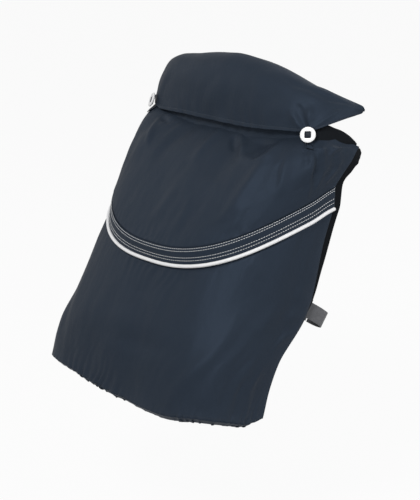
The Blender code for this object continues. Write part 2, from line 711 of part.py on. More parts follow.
def build_strap(side, webbing, hook, dark):
    """The strap that leaves the panel's inner face, goes round the tube, and closes on itself."""
    axis = strap_axis() * side
    reach = TUBE_RADIUS + STRAP_CLEARANCE
    inside = strap_start_out()
    path = [strap_place(side, inside, -STRAP_RUN)]
    path += [strap_place(side, inside, -STRAP_RUN * 0.62), strap_place(side, reach, -TUBE_RADIUS)]
    path += [strap_place(side, reach * math.cos(a), reach * math.sin(a)) for a in arc(0, 170, 10)]
    ribbon_solid(side_name("strap_loop", side), path, STRAP_THICKNESS, axis, STRAP_WIDTH, webbing)

    pad = [strap_place(side, inside - LAYER_GAP, back) for back in (-STRAP_RUN, -STRAP_RUN + PAD_LENGTH)]
    pad_width = STRAP_WIDTH - 2.0 * PAD_INSET
    ribbon_solid(side_name("loop_pad", side), pad, -PAD_THICKNESS, axis, pad_width, webbing)
    anchor_out = inside + STRAP_THICKNESS + LAYER_GAP
    anchor_ends = (-STRAP_RUN - ANCHOR_MARGIN, -STRAP_RUN + ANCHOR_LENGTH)
    anchor = [strap_place(side, anchor_out, back) for back in anchor_ends]
    anchor_width = STRAP_WIDTH + 4.0 * ANCHOR_MARGIN
    ribbon_solid(side_name("strap_anchor", side), anchor, ANCHOR_THICKNESS, axis, anchor_width, dark)

    pivot = add_pivot(side_name("strap_pivot", side), strap_hinge(side))
    hook_out = inside - 2 * LAYER_GAP - PAD_THICKNESS
    tail_out = hook_out - PAD_THICKNESS - LAYER_GAP
    tail = [strap_place(side, reach * math.cos(a), reach * math.sin(a)) for a in arc(183, 262, 6)]
    tail += [strap_place(side, between(0.0, tail_out, 0.55), -reach - 0.006)]
    tail += [strap_place(side, tail_out, -STRAP_RUN * 0.52), strap_place(side, tail_out, -STRAP_RUN)]
    tail.reverse()
    ribbon_solid(side_name("strap_tail", side), tail, -STRAP_THICKNESS, axis, STRAP_WIDTH, webbing, pivot)
    patch_ends = (-STRAP_RUN, -STRAP_RUN + PAD_LENGTH + PAD_OVERRUN)
    patch = [strap_place(side, tail_out + LAYER_GAP, back) for back in patch_ends]
    ribbon_solid(side_name("hook_pad", side), patch, PAD_THICKNESS, axis, pad_width, hook, pivot)


def strap_start_out():
    """How far out from the tube's centre the strap lies where it is sewn inside the panel."""
    panel_inside = STRAP_LEVEL.half_width - SHELL_THICKNESS - LINING_THICKNESS - LINING_GAP
    stack = ANCHOR_THICKNESS + STRAP_THICKNESS + 3 * LAYER_GAP
    return panel_inside - stack - ANCHOR_CLEARANCE - TUBE_CENTRE.x


def strap_hinge(side):
    """Where the tail peels open, behind the tube on its inner side."""
    return strap_place(side, -(TUBE_RADIUS + STRAP_CLEARANCE), 0.0)


def arc(start, end, steps):
    """Angles in radians from start to end degrees."""
    return [math.radians(between(start, end, i / steps)) for i in range(steps + 1)]


def build_facing(side, dark):
    """The dark strip turned in behind a side edge, from the top down to the strap."""

    def place(share, down, lift):
        edge = shell_point(side, down, -LAYER_GAP)
        outward = shell_normal(side, down)
        rearward = (edge - shell_point(side * 0.98, down, -LAYER_GAP)).normalized()
        inward = (rearward - outward * FACING_LEAN).normalized()
        width = between(FACING_WIDTH_TOP, FACING_WIDTH_FOOT, down / STRAP_LEVEL.down)
        start = edge + rearward * FACING_GAP
        return start + inward * (share * width) + outward * lift

    across = (0.0, 1.0) if side > 0 else (1.0, 0.0)
    rows = spread(FACING_TOP, STRAP_LEVEL.down - FACING_STRAP_GAP, 22)
    sheet_solid(side_name("edge_facing", side), place, across, rows, 3, 0.0, FACING_THICKNESS, dark)


def main():
    """Builds every piece of the cover."""
    clear_scene()
    navy = make_material("navy_polyester", (0.030, 0.042, 0.062), 0.55)
    dark = make_material("dark_lining", (0.008, 0.011, 0.016), 0.75)
    white = make_material("white_piping", (0.85, 0.85, 0.86), 0.45)
    plastic = make_material("white_plastic", (0.88, 0.88, 0.88), 0.30)
    core = make_material("navy_plastic", (0.030, 0.040, 0.055), 0.45)
    steel = make_material("snap_steel", (0.55, 0.56, 0.58), 0.35, 1.0)
    webbing = make_material("grey_webbing", (0.12, 0.125, 0.14), 0.9)
    hook = make_material("hook_tape", (0.05, 0.05, 0.055), 0.8)
    elastic = make_material("elastic", (0.6, 0.6, 0.6), 0.8)

    build_shell(navy, dark, white)
    build_hem(navy, elastic)
    build_wrap(navy)
    flap_pivot = add_pivot("flap_pivot", FLAP_HINGE)
    build_flap(navy, dark, flap_pivot)
    for side in (1, -1):
        build_button(side, (navy, plastic, core, steel), flap_pivot)
        build_strap(side, webbing, hook, dark)
        build_facing(side, dark)


main()
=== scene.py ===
"""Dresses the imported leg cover: woven cloth panels, a stitched trim band with piping, a fold-over flap with ring
buttons and the two frame straps, in a plain pale studio.

Metres, +Z up, the cover's front faces -Y. The origin is the centre line of the bumper bar at mid width, and "left"
is the child's left, at +X. A place on the cloth is given as across, from -1 at the right back edge to +1 at the
left one, and down, the distance in metres below the panel's top edge.
"""

import json
import logging
import math
from dataclasses import astuple, dataclass
from enum import Enum
from functools import lru_cache
from typing import Any, Callable, Iterable, Sequence

import bmesh
import bpy
from mathutils import Matrix, Vector, noise

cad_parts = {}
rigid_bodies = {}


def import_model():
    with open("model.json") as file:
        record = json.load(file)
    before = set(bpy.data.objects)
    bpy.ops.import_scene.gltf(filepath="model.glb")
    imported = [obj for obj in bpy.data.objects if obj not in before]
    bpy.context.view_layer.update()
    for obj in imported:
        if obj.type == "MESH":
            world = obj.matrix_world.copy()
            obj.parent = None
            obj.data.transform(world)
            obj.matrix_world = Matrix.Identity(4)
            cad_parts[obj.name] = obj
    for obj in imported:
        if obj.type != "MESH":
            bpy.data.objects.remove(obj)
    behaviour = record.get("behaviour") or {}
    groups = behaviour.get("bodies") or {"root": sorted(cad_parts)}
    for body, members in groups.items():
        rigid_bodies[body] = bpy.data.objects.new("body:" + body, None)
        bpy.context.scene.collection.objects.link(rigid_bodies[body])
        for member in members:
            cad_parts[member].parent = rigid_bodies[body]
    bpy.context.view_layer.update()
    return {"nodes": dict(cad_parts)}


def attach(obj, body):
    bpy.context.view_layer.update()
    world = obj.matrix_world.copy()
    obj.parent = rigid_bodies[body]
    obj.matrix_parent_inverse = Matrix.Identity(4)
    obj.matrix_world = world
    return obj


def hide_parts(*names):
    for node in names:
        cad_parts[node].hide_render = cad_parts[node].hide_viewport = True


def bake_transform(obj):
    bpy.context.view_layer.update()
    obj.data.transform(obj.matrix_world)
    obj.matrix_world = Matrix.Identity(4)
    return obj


LOG = logging.getLogger("leg_cover")

Pair = tuple[float, float]
Seat = tuple[Vector, Vector]  # a point with the outward direction there
Frame3 = tuple[Vector, Vector, Vector]
Place = Callable[[float, float], Vector]
Flat = Callable[[float, float], Pair]
Wear = Callable[[float, float], float]
MILLIMETRE = 0.001


class Body(Enum):
    """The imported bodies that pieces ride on."""

    COVER = "cover"
    FLAP = "flap"
    TAIL_LEFT = "strap_tail_left"
    TAIL_RIGHT = "strap_tail_right"


class Slot(Enum):
    """The record's material slots."""

    NAVY = "navy_polyester"
    LINING = "dark_lining"
    PIPING = "white_piping"
    ELASTIC = "elastic"
    RING = "white_plastic"
    CORE = "navy_plastic"
    WEBBING = "grey_webbing"
    HOOK = "hook_tape"


class Side(Enum):
    """The child's left or right."""

    LEFT = 1
    RIGHT = -1

    def of(self, word: str) -> str:
        """The name of this side's one of a mirrored pair."""
        return f"{word}_{self.name.lower()}"

    @property
    def tail(self) -> Body:
        """The body of this side's strap tail."""
        return Body.TAIL_LEFT if self is Side.LEFT else Body.TAIL_RIGHT


def smooth_step(share: float) -> float:
    """0 below 0, 1 above 1, with soft ends."""
    share = min(1.0, max(0.0, share))
    return share * share * (3.0 - 2.0 * share)


def bell(off: float, reach: float) -> float:
    """1 at 0, dying away softly over a reach on both sides."""
    return math.exp(-((off / reach) ** 2))


def between(low: float, high: float, share: float) -> float:
    """The value a share of the way from low to high."""
    return low + (high - low) * share


def spread(start: float, end: float, steps: int) -> list[float]:
    """Evenly spaced values from start to end, both included."""
    return [between(start, end, i / steps) for i in range(steps + 1)]


def smooth_curve(stops: Sequence[float], values: Sequence[float], spot: float) -> float:
    """The height at a spot of the smooth curve through given values, level beyond its ends."""
    spot = min(stops[-1], max(stops[0], spot))
    index = max(i for i in range(len(stops) - 1) if stops[i] <= spot)
    low, high = max(0, index - 1), min(len(stops) - 1, index + 2)
    a, b, span = values[index], values[index + 1], stops[index + 1] - stops[index]
    t = (spot - stops[index]) / span
    slope_in = span * (b - values[low]) / (stops[index + 1] - stops[low])
    slope_out = span * (values[high] - a) / (stops[high] - stops[index])
    ease = 3 * t * t - 2 * t**3
    return a * (1 - ease) + b * ease + slope_in * (t - 2 * t * t + t**3) + slope_out * (t**3 - t * t)


# ---------------------------------------------------------------------------------------------- the cloth's form


@dataclass(frozen=True)
class Layers:
    """Thicknesses and gaps of the cover's layers, from the outside in."""

    shell: float = 0.0014
    cloth: float = 0.0008
    lining: float = 0.0010
    band: float = 0.0020
    gap: float = 0.0003
    lining_gap: float = 0.0012
    seam_gap: float = 0.0004
    piping: float = 0.0056


@dataclass(frozen=True)
class Bar:
    """The bumper bar that the cover hangs on, which bows forwards and up in the middle."""

    radius: float = 0.0150
    clearance: float = 0.0005
    half_span: float = 0.2100
    sweep_back: float = 0.0640
    drop: float = 0.0640

    def centre(self, x: float) -> Vector:
        """The bar's centre line at x."""
        share = min(1.0, abs(x) / self.half_span)
        return Vector((x, self.sweep_back * share**6, -self.drop * share**2.3))


LAYERS = Layers()
BAR = Bar()


@dataclass(frozen=True)
class Turn:
    """One horizontal turn of cloth: a squared-off half oval from back edge round the front to back edge."""

    down: float
    half_width: float
    squareness: float
    front_y: float
    back_y: float
    front_z: float
    side_rise: float
    side_sag: float


TURNS = (
    Turn(0.000, 0.2000, 3.60, -0.041, 0.060, -0.088, 0.075, -0.085),
    Turn(0.070, 0.2030, 3.30, -0.100, 0.044, -0.132, 0.095, -0.080),
    Turn(0.224, 0.2010, 2.42, -0.192, 0.009, -0.247, 0.137, -0.052),
    Turn(0.250, 0.2010, 2.56, -0.195, 0.007, -0.272, 0.132, -0.054),
    Turn(0.256, 0.2010, 2.58, -0.196, 0.006, -0.278, 0.131, -0.053),
    Turn(0.354, 0.2060, 3.30, -0.248, -0.056, -0.371, 0.050, -0.025),
    Turn(0.398, 0.2070, 3.70, -0.262, -0.113, -0.412, 0.012, -0.006),
    Turn(0.462, 0.2070, 4.30, -0.274, -0.145, -0.468, -0.045, 0.029),
)
BAND_TOP, BAND_FOOT, PIPING_FOOT, STRAP_DOWN, HEM_DOWN = 0.224, 0.250, 0.256, 0.354, 0.462
TURN_COLUMNS = tuple(zip(*map(astuple, TURNS)))
FLAP_EDGE = Turn(0.000, 0.2000, 3.60, -0.041, 0.060, -0.083, 0.056, -0.027)


@dataclass(frozen=True)
class Fold:
    """A soft ridge or valley that runs down the cloth."""

    across: float
    across_foot: float
    width: float
    top: float
    foot: float
    height: float

    def rise(self, across: float, down: float) -> float:
        """How far it pushes the cloth out at a place."""
        if not self.top < down < self.foot:
            return 0.0
        share = (down - self.top) / (self.foot - self.top)
        centre = between(self.across, self.across_foot, share)
        return self.height * math.sin(math.pi * share) ** 0.8 * bell(across - centre, self.width)


@dataclass(frozen=True)
class Crease:
    """A narrow ridge, or a valley where its height is below 0, along a line on the cloth."""

    line: tuple[Pair, ...]
    width: float
    height: float
    start_fade: float = 0.35
    end_fade: float = 0.35

    def rise(self, across: float, down: float, scale: float) -> float:
        """How far it pushes the cloth out.

        Args:
            across: The place across, from -1 to 1.
            down: The place down, in metres.
            scale: The metres that one unit of across stands for.

        Returns:
            The height in metres.
        """
        reach = 3.0 * self.width
        xs = [point[0] * scale for point in self.line]
        ys = [point[1] for point in self.line]
        x = across * scale
        if not (min(xs) - reach < x < max(xs) + reach and min(ys) - reach < down < max(ys) + reach):
            return 0.0
        spans = [math.hypot(xs[i + 1] - xs[i], ys[i + 1] - ys[i]) for i in range(len(xs) - 1)]
        best, best_at, passed = reach, 0.0, 0.0
        for i, span in enumerate(spans):
            dx, dy = (xs[i + 1] - xs[i]) / span, (ys[i + 1] - ys[i]) / span
            along = min(span, max(0.0, (x - xs[i]) * dx + (down - ys[i]) * dy))
            distance = math.hypot(x - xs[i] - dx * along, down - ys[i] - dy * along)
            if distance < best:
                best, best_at = distance, passed + along
            passed += span
        share = best_at / sum(spans)
        fade = smooth_step(share / self.start_fade) * smooth_step((1.0 - share) / self.end_fade)
        return self.height * fade * bell(best, self.width)


@dataclass(frozen=True)
class Gather:
    """Short puckers that run off a seam and die away from it."""

    seam: float
    start: float
    end: float
    pitch: float
    reach: float
    height: float
    above: bool = True
    lean: float = 0.0
    seed: float = 0.0

    def rise(self, across: float, down: float, scale: float) -> float:
        """How far the puckers push the cloth out at a place, as for a crease."""
        off = (self.seam - down) if self.above else (down - self.seam)
        if not 0.0 <= off < 3.5 * self.reach or not self.start - 0.08 < across < self.end + 0.08:
            return 0.0
        edge = smooth_step((across - self.start) / 0.08 + 0.5) * smooth_step((self.end - across) / 0.08 + 0.5)
        x = across * scale + self.lean * off
        wander = noise.noise(Vector((x / self.pitch * 0.35, off / self.reach * 0.5, self.seed)))
        strength = 0.55 + 0.9 * noise.noise(Vector((x / self.pitch * 0.5, 7.3, self.seed)))
        wave = math.sin(math.tau * (x / self.pitch + 0.9 * wander))
        return self.height * edge * strength * wave * math.exp(-off / self.reach)


@dataclass(frozen=True)
class Swell:
    """A broad soft bulge, or a hollow where its height is below 0."""

    across: float
    down: float
    half_across: float
    half_down: float
    height: float

    def rise(self, across: float, down: float, scale: float) -> float:
        """How far it pushes the cloth out at a place, as for a crease."""
        x = (across - self.across) * scale / self.half_across
        y = (down - self.down) / self.half_down
        return self.height * math.exp(-(x * x + y * y))


@dataclass(frozen=True)
class Ripple:
    """The small unevenness of hanging cloth, longer one way than the other."""

    height: float
    size_across: float
    size_down: float
    seed: float

    def rise(self, across: float, down: float, scale: float) -> float:
        """How far it pushes the cloth out at a place, as for a crease."""
        spot = Vector((across * scale / self.size_across, down / self.size_down, self.seed))
        return self.height * noise.noise(spot)


FOLDS = (
    Fold(-0.42, -0.46, 0.060, -0.02, 0.130, 0.0040),
    Fold(-0.22, -0.25, 0.050, -0.02, 0.100, -0.0030),
    Fold(0.02, 0.00, 0.035, -0.02, 0.080, 0.0035),
    Fold(0.22, 0.20, 0.070, 0.00, 0.100, -0.0050),
    Fold(0.50, 0.38, 0.045, 0.00, 0.180, 0.0045),
    Fold(0.76, 0.72, 0.050, 0.01, 0.150, 0.0040),
    Fold(-0.55, -0.50, 0.060, 0.290, 0.440, -0.0030),
    Fold(0.05, -0.05, 0.090, 0.300, 0.450, 0.0035),
    Fold(0.62, 0.42, 0.055, 0.310, 0.462, 0.0045),
)

SHELL_RELIEF = (
    Crease(((-0.53, 0.012), (-0.44, 0.050), (-0.36, 0.085)), 0.007, 0.0030),
    Crease(((-0.50, 0.018), (-0.375, 0.022)), 0.005, -0.0026),
    Crease(((0.150, -0.010), (0.200, 0.012), (0.300, 0.048)), 0.0055, 0.0028),
    Crease(((0.120, 0.004), (0.150, 0.020), (0.215, 0.040)), 0.0050, -0.0032),
    Crease(((0.225, 0.006), (0.290, 0.044), (0.390, 0.058), (0.470, 0.044), (0.500, 0.004)), 0.008, 0.0030, 0.2, 0.2),
    Swell(0.370, 0.014, 0.026, 0.022, -0.0065),
    Crease(((0.545, 0.004), (0.587, 0.070), (0.637, 0.165)), 0.0085, 0.0028),
    Crease(((0.690, 0.048), (0.735, 0.090), (0.825, 0.214)), 0.0055, 0.0034, 0.1),
    Crease(((0.730, 0.036), (0.790, 0.070), (0.837, 0.121), (0.850, 0.205)), 0.0055, 0.0030, 0.1),
    Crease(((0.665, 0.040), (0.690, 0.060), (0.712, 0.096)), 0.0045, -0.0030, 0.1),
    Crease(((0.718, 0.044), (0.765, 0.085), (0.800, 0.150)), 0.0045, -0.0030, 0.1),
    Crease(((0.860, 0.024), (0.830, 0.070), (0.880, 0.150)), 0.0060, 0.0022, 0.1),
    Crease(((0.920, 0.060), (0.930, 0.120), (0.900, 0.190)), 0.0060, 0.0018),
    Crease(((0.580, 0.030), (0.560, 0.080), (0.600, 0.140)), 0.0060, -0.0018),
    Crease(((0.790, 0.020), (0.880, 0.060), (0.920, 0.120)), 0.009, 0.0022),
    Crease(((-0.06, 0.205), (-0.02, 0.150), (0.02, 0.110)), 0.010, 0.0014),
    Crease(((0.110, 0.210), (0.130, 0.160), (0.110, 0.120)), 0.009, 0.0015),
    Crease(((0.420, 0.214), (0.450, 0.170), (0.440, 0.130)), 0.010, 0.0016),
    Gather(BAND_TOP, -0.60, 0.60, 0.0120, 0.014, 0.0009, seed=1.7),
    Gather(BAND_TOP, -0.10, 0.20, 0.0150, 0.022, 0.0011, lean=0.25, seed=4.1),
    Gather(BAND_TOP, 0.38, 0.54, 0.0140, 0.022, 0.0011, lean=-0.20, seed=9.6),
    Gather(0.002, -0.46, -0.20, 0.0180, 0.016, 0.0016, above=False, lean=0.3, seed=2.2),
    Gather(PIPING_FOOT, -0.90, 0.90, 0.0110, 0.009, 0.0005, above=False, seed=6.4),
    Gather(PIPING_FOOT, -0.14, 0.22, 0.0150, 0.020, 0.0010, above=False, lean=0.15, seed=3.3),
    Crease(((0.560, 0.262), (0.600, 0.274), (0.650, 0.292)), 0.006, 0.0014, 0.1),
    Swell(0.110, 0.368, 0.075, 0.016, -0.0035),
    Gather(HEM_DOWN, -0.36, 0.08, 0.0150, 0.022, 0.0026, lean=-0.35, seed=8.8),
    Gather(HEM_DOWN, 0.48, 0.96, 0.0150, 0.016, 0.0020, seed=5.5),
    Gather(HEM_DOWN, -0.98, 0.98, 0.0125, 0.010, 0.0006, seed=2.9),
    Crease(((0.615, 0.452), (0.637, 0.385), (0.700, 0.352), (0.860, 0.330)), 0.014, 0.0026, 0.15, 0.3),
    Crease(((0.700, 0.455), (0.735, 0.400), (0.820, 0.372)), 0.010, -0.0018, 0.2, 0.3),
    Crease(((0.880, 0.458), (0.860, 0.420), (0.900, 0.390)), 0.0060, 0.0022, 0.1),
    Crease(((0.800, 0.458), (0.790, 0.430), (0.815, 0.400)), 0.0055, -0.0020, 0.1),
    Crease(((0.995, 0.346), (0.860, 0.318)), 0.006, 0.0018, 0.1),
    Crease(((0.995, 0.356), (0.850, 0.347)), 0.006, 0.0020, 0.1),
    Crease(((0.995, 0.366), (0.870, 0.376)), 0.006, 0.0018, 0.1),
    Crease(((-0.995, 0.346), (-0.860, 0.322)), 0.006, 0.0018, 0.1),
    Crease(((-0.995, 0.360), (-0.850, 0.362)), 0.006, 0.0020, 0.1),
    Swell(0.880, 0.436, 0.045, 0.030, -0.0045),
    Ripple(0.0030, 0.085, 0.190, 11.0),
    Ripple(0.0014, 0.036, 0.080, 23.0),
    Ripple(0.0005, 0.014, 0.030, 31.0),
)

# How far the hem hangs below its even line, the corners of the panel below the bar, and the flap's edge and crest
# above theirs, in millimetres at stops from -1 to 1 across
HEM_FALL = (
    (-1.0, -0.9, -0.8, -0.7, -0.6, -0.5, -0.4, -0.3, -0.2, -0.1, 0.0, 0.1, 0.2, 0.3, 0.4, 0.5, 0.6, 0.7, 0.8, 0.9, 1.0),
    (0.0, -3, -6, -8.5, -10, -9, -7.5, -5.2, -1, 0.7, 3.7, 4.1, 6.3, 5.8, 5.2, 0.2, -5.7, -6.7, -2.7, 5.0, 4.5),
)
CORNER_FALL = ((0.64, 0.70, 0.76, 0.82, 0.88, 0.94, 1.0), (0.0, 3.0, 8.0, 15.0, 15.0, 9.0, 4.0))
CORNER_LINING = ((0.62, 0.68, 0.74, 0.80, 0.86, 0.92, 1.0), (0.0, 12.0, 15.0, 9.0, 6.0, 4.5, 2.0))
CREST_RISE = (
    (-1.0, -0.8, -0.7, -0.6, -0.5, -0.4, -0.3, -0.1, 0.0, 0.1, 0.2, 0.47, 0.55, 0.62, 0.7, 0.8, 0.9, 1.0),
    (4.0, 7.0, 9.0, 9.5, 8.5, 4.5, 1.0, 1.0, 3.0, 1.5, 0.0, 0.0, 3.0, 6.0, 6.5, 6.0, 5.5, 6.0),
)
EDGE_RISE = (
    (-1.0, -0.85, -0.75, -0.65, -0.55, -0.45, -0.35, -0.25, -0.1, 0.1, 0.25, 0.4, 0.5, 0.6, 0.68, 0.75, 0.8, 0.9, 1.0),
    (0.0, -6.0, -9.0, -9.5, -6.0, -1.0, 2.0, 3.5, 4.0, 4.5, 5.0, 6.0, 6.0, 3.0, 1.0, 3.5, 5.0, 7.5, 9.0),
)

FLAP_REACH = 0.110
FLAP_RELIEF = (
    Crease(((0.540, 0.052), (0.600, 0.078), (0.655, 0.106)), 0.0040, -0.0046, 0.4, 0.05),
    Crease(((0.510, 0.066), (0.585, 0.092), (0.648, 0.108)), 0.0050, 0.0026, 0.4, 0.05),
    Crease(((0.620, 0.050), (0.645, 0.080), (0.664, 0.106)), 0.0050, 0.0030, 0.4, 0.05),
    Crease(((0.675, 0.106), (0.760, 0.080), (0.820, 0.050)), 0.0070, 0.0020, 0.05, 0.4),
    Crease(((0.280, 0.016), (0.560, 0.018), (0.860, 0.034)), 0.0090, -0.0024),
    Crease(((-0.640, 0.100), (-0.560, 0.060), (-0.500, 0.030)), 0.0100, 0.0018),
    Crease(((-0.100, 0.104), (-0.060, 0.070), (0.020, 0.040)), 0.0120, 0.0014),
    Gather(FLAP_REACH, -0.75, 0.62, 0.0260, 0.020, 0.0012, lean=0.2, seed=12.0),
    Ripple(0.0026, 0.090, 0.070, 41.0),
    Ripple(0.0010, 0.030, 0.030, 47.0),
)
FLAP_PUFF = Swell(-0.700, 0.040, 0.070, 0.045, 0.0050)


class CoverForm:
    """The surface of the cloth as it hangs, as functions of a place on it."""

    half_turn: float = 0.31
    flap_half: float = 0.27
    step: float = 0.01
    bar_share: float = 0.60
    bar_relief: float = 0.30
    bar_reach: float = 0.016
    band_relief: float = 0.25
    band_reach: float = 0.012
    hem_fall_top: float = 0.355
    corner_reach: float = 0.035
    side_rise: float = 0.0055
    side_rise_down: float = 0.24
    side_pull: float = 0.020
    side_pull_down: float = 0.290
    wrap_reach: float = 0.018
    wrap_lift: float = 0.0012
    edge_stand_off: float = 0.0070
    roll_degrees: float = 25.0
    tip_start: float = 0.900
    tip_length: float = 0.075
    tip_along: float = 0.45
    button_across: float = 0.665

    @lru_cache(maxsize=None)
    def turn_at(self, down: float) -> Turn:
        """The turn of cloth at a distance below the top edge, on a smooth curve through the given turns."""
        down = min(HEM_DOWN, max(0.0, down))
        stops, *columns = TURN_COLUMNS
        return Turn(down, *(smooth_curve(stops, values, down) for values in columns))

    @lru_cache(maxsize=None)
    def turn_points(self, turn: Turn, samples: int = 240) -> tuple[list[Vector], list[float]]:
        """Points round one turn, from the right back edge to the left one, and the length up to each."""
        depth = turn.back_y - turn.front_y
        points: list[Vector] = []
        lengths = [0.0]
        for step in range(samples + 1):
            angle = math.pi * (step / samples - 0.5)
            side, front = abs(math.sin(angle)) / turn.half_width, abs(math.cos(angle)) / depth
            radius = (side**turn.squareness + front**turn.squareness) ** (-1.0 / turn.squareness)
            x, y = radius * math.sin(angle), turn.back_y - radius * math.cos(angle)
            share = (y - turn.front_y) / depth
            z = turn.front_z + turn.side_rise * share + turn.side_sag * share * share
            points.append(Vector((x, y, z)))
            if step:
                lengths.append(lengths[-1] + (points[-1] - points[-2]).length)
        return points, lengths

    def on_turn(self, turn: Turn, across: float) -> Vector:
        """The point at a share across a turn, from -1 to 1, evenly spaced by length."""
        points, lengths = self.turn_points(turn)
        target = (across + 1.0) / 2.0 * lengths[-1]
        low, high = 0, len(lengths) - 1
        while high - low > 1:
            middle = (low + high) // 2
            low, high = (middle, high) if lengths[middle] <= target else (low, middle)
        return points[low].lerp(points[high], (target - lengths[low]) / (lengths[high] - lengths[low]))

    def shell_normal(self, across: float, down: float) -> Vector:
        """The outward direction of the shell."""
        level, step = self.turn_at(down), self.step
        left = self.on_turn(level, min(1.0, across + step)) - self.on_turn(level, max(-1.0, across - step))
        drop = self.on_turn(self.turn_at(down + step), across)
        drop = drop - self.on_turn(self.turn_at(max(0.0, down - step)), across)
        return drop.cross(left).normalized()

    def shell_ahead(self, across: float, down: float) -> Vector:
        """The direction across the shell, not brought to length 1."""
        return self.shell(min(1.0, across + self.step), down) - self.shell(max(-1.0, across - self.step), down)

    @lru_cache(maxsize=None)
    def shell_relief(self, across: float, down: float) -> float:
        """How far folds and creases push the shell out. The stiff band takes only a little of it."""
        total = sum(part.rise(across, down, self.half_turn) for part in SHELL_RELIEF)
        if abs(across) < self.bar_share:
            total *= between(self.bar_relief, 1.0, smooth_step(down / self.bar_reach))
        off, least = BAND_TOP - down if down < BAND_TOP else down - PIPING_FOOT, self.band_relief
        total *= between(least, 1.0, smooth_step(off / self.band_reach + least)) if off > 0.0 else least
        return total + sum(fold.rise(across, down) for fold in FOLDS)

    def shell(self, across: float, down: float, lift: float = 0.0) -> Vector:
        """A point on the cover's shell, lifted outwards from its outer face."""
        spot = self.on_turn(self.turn_at(down), across)
        spot = spot + self.shell_normal(across, down) * (lift + self.shell_relief(across, down))
        return spot - Vector((0.0, 0.0, self.fall(across, down)))

    def seat(self, across: float, down: float, lift: float = 0.0) -> Seat:
        """A point on the cover's shell, with the outward direction there."""
        return self.shell(across, down, lift), self.shell_normal(across, down)

    @lru_cache(maxsize=None)
    def fall(self, across: float, down: float) -> float:
        """How far the cloth hangs below its even turns, at the hem and beside the ends of the bar."""
        side = abs(across)
        total = MILLIMETRE * smooth_curve(*HEM_FALL, across) * smooth_step((down - self.hem_fall_top) / 0.107)
        total += MILLIMETRE * smooth_curve(*CORNER_FALL, side) * bell(down, self.corner_reach)
        return total - self.side_rise * smooth_step((side - 0.84) / 0.16) * bell(down - self.side_rise_down, 0.045)

    def side(self, across: float, down: float) -> float:
        """Draws the place across in a little where the side edge is pulled towards the strap."""
        pull = self.side_pull * bell(down - self.side_pull_down, 0.034)
        return across - math.copysign(pull * smooth_step((abs(across) - 0.7) / 0.3), across)

    def above(self, across: float, down: float) -> Vector:
        """A point on the panel where it goes on up behind the flap, for a down below 0."""
        share = -down / self.wrap_reach
        start = self.shell(across, 0.0)
        bend, end = (
            self.flap_base(across, along) + self.flap_normal(across, along) * self.wrap_lift for along in (0.97, 0.84)
        )
        return start * (1 - share) ** 2 + bend * (2 * share * (1 - share)) + end * share**2

    def crest_radius(self, across: float) -> float:
        """Radius of the cloth over the bar, which shrinks to a pinched tip at each end of the flap."""
        full = BAR.radius + BAR.clearance + LAYERS.shell
        return between(full, 0.35 * full, smooth_step((abs(across) - 0.80) / 0.20))

    def flap_base(self, across: float, along: float) -> Vector:
        """The surface under the flap, from the bar's crest at 0 to the flap's lower edge at 1."""
        edge = self.on_turn(FLAP_EDGE, across)
        crest_x = BAR.half_span * math.copysign(1.0 - max(0.0, 1.0 - abs(across)) ** 1.6, across)
        crest = BAR.centre(crest_x) + Vector((0, 0, self.crest_radius(0.0)))
        reach = 0.45 * (crest - edge).length
        forward = Vector((edge.x - crest.x, edge.y - crest.y, 0.0)).normalized()
        first = crest + forward * reach * 0.75 - Vector((0, 0, 0.08 * reach))
        rise = ((crest - edge).normalized() + Vector((0, 0, 0.8))).normalized()
        second = edge + rise * reach * 0.8 + forward * reach * 0.10
        t, u = along, 1.0 - along
        return crest * u**3 + first * (3 * t * u * u) + second * (3 * t * t * u) + edge * t**3

    @lru_cache(maxsize=None)
    def flap_normal_at(self, across: float, along: float) -> tuple[float, float, float]:
        """The outward direction of the surface under the flap, as plain numbers."""
        step = self.step
        drop = self.flap_base(across, min(1.0, along + step)) - self.flap_base(across, max(0.0, along - step))
        return tuple(drop.cross(self.flap_ahead(across, along)).normalized())

    def flap_ahead(self, across: float, along: float) -> Vector:
        """The direction across the surface under the flap, not brought to length 1."""
        step = self.step
        return self.flap_base(min(1.0, across + step), along) - self.flap_base(max(-1.0, across - step), along)

    def flap_normal(self, across: float, along: float) -> Vector:
        """The outward direction of the surface under the flap."""
        return Vector(self.flap_normal_at(across, along))

    @lru_cache(maxsize=None)
    def flap_relief(self, across: float, along: float) -> float:
        """How far folds push the flap out, dying away at the bar's crest."""
        down = max(0.0, along) * FLAP_REACH
        total = sum(part.rise(across, down, self.flap_half) for part in FLAP_RELIEF)
        puff = FLAP_PUFF.rise(across, down, self.flap_half)
        return max(total, -0.0012) * smooth_step(along / 0.25 + 0.15) + puff

    @lru_cache(maxsize=None)
    def flap_rise(self, across: float, along: float) -> float:
        """How far the flap stands above its even surface."""
        crest = MILLIMETRE * smooth_curve(*CREST_RISE, across) * smooth_step(1.0 + min(0.0, along))
        edge = MILLIMETRE * smooth_curve(*EDGE_RISE, across)
        return between(crest, edge, smooth_step((along - 0.05) / 0.9))

    def flap(self, across: float, along: float, lift: float) -> Vector:
        """A point on the flap, whose two tips are rounded off."""
        spot = self.open_flap(across, along, lift)
        share = (abs(across) - self.tip_start) / self.tip_length
        if share <= 0.0:
            return spot
        tip = self.open_flap(across, self.tip_along, lift)
        return spot.lerp(tip, 1.0 - math.sqrt(max(0.0, 1.0 - share * share)))

    def stand_off(self, along: float) -> float:
        """How far the flap stands off the surface under it."""
        return between(BAR.clearance, self.edge_stand_off, smooth_step(along))

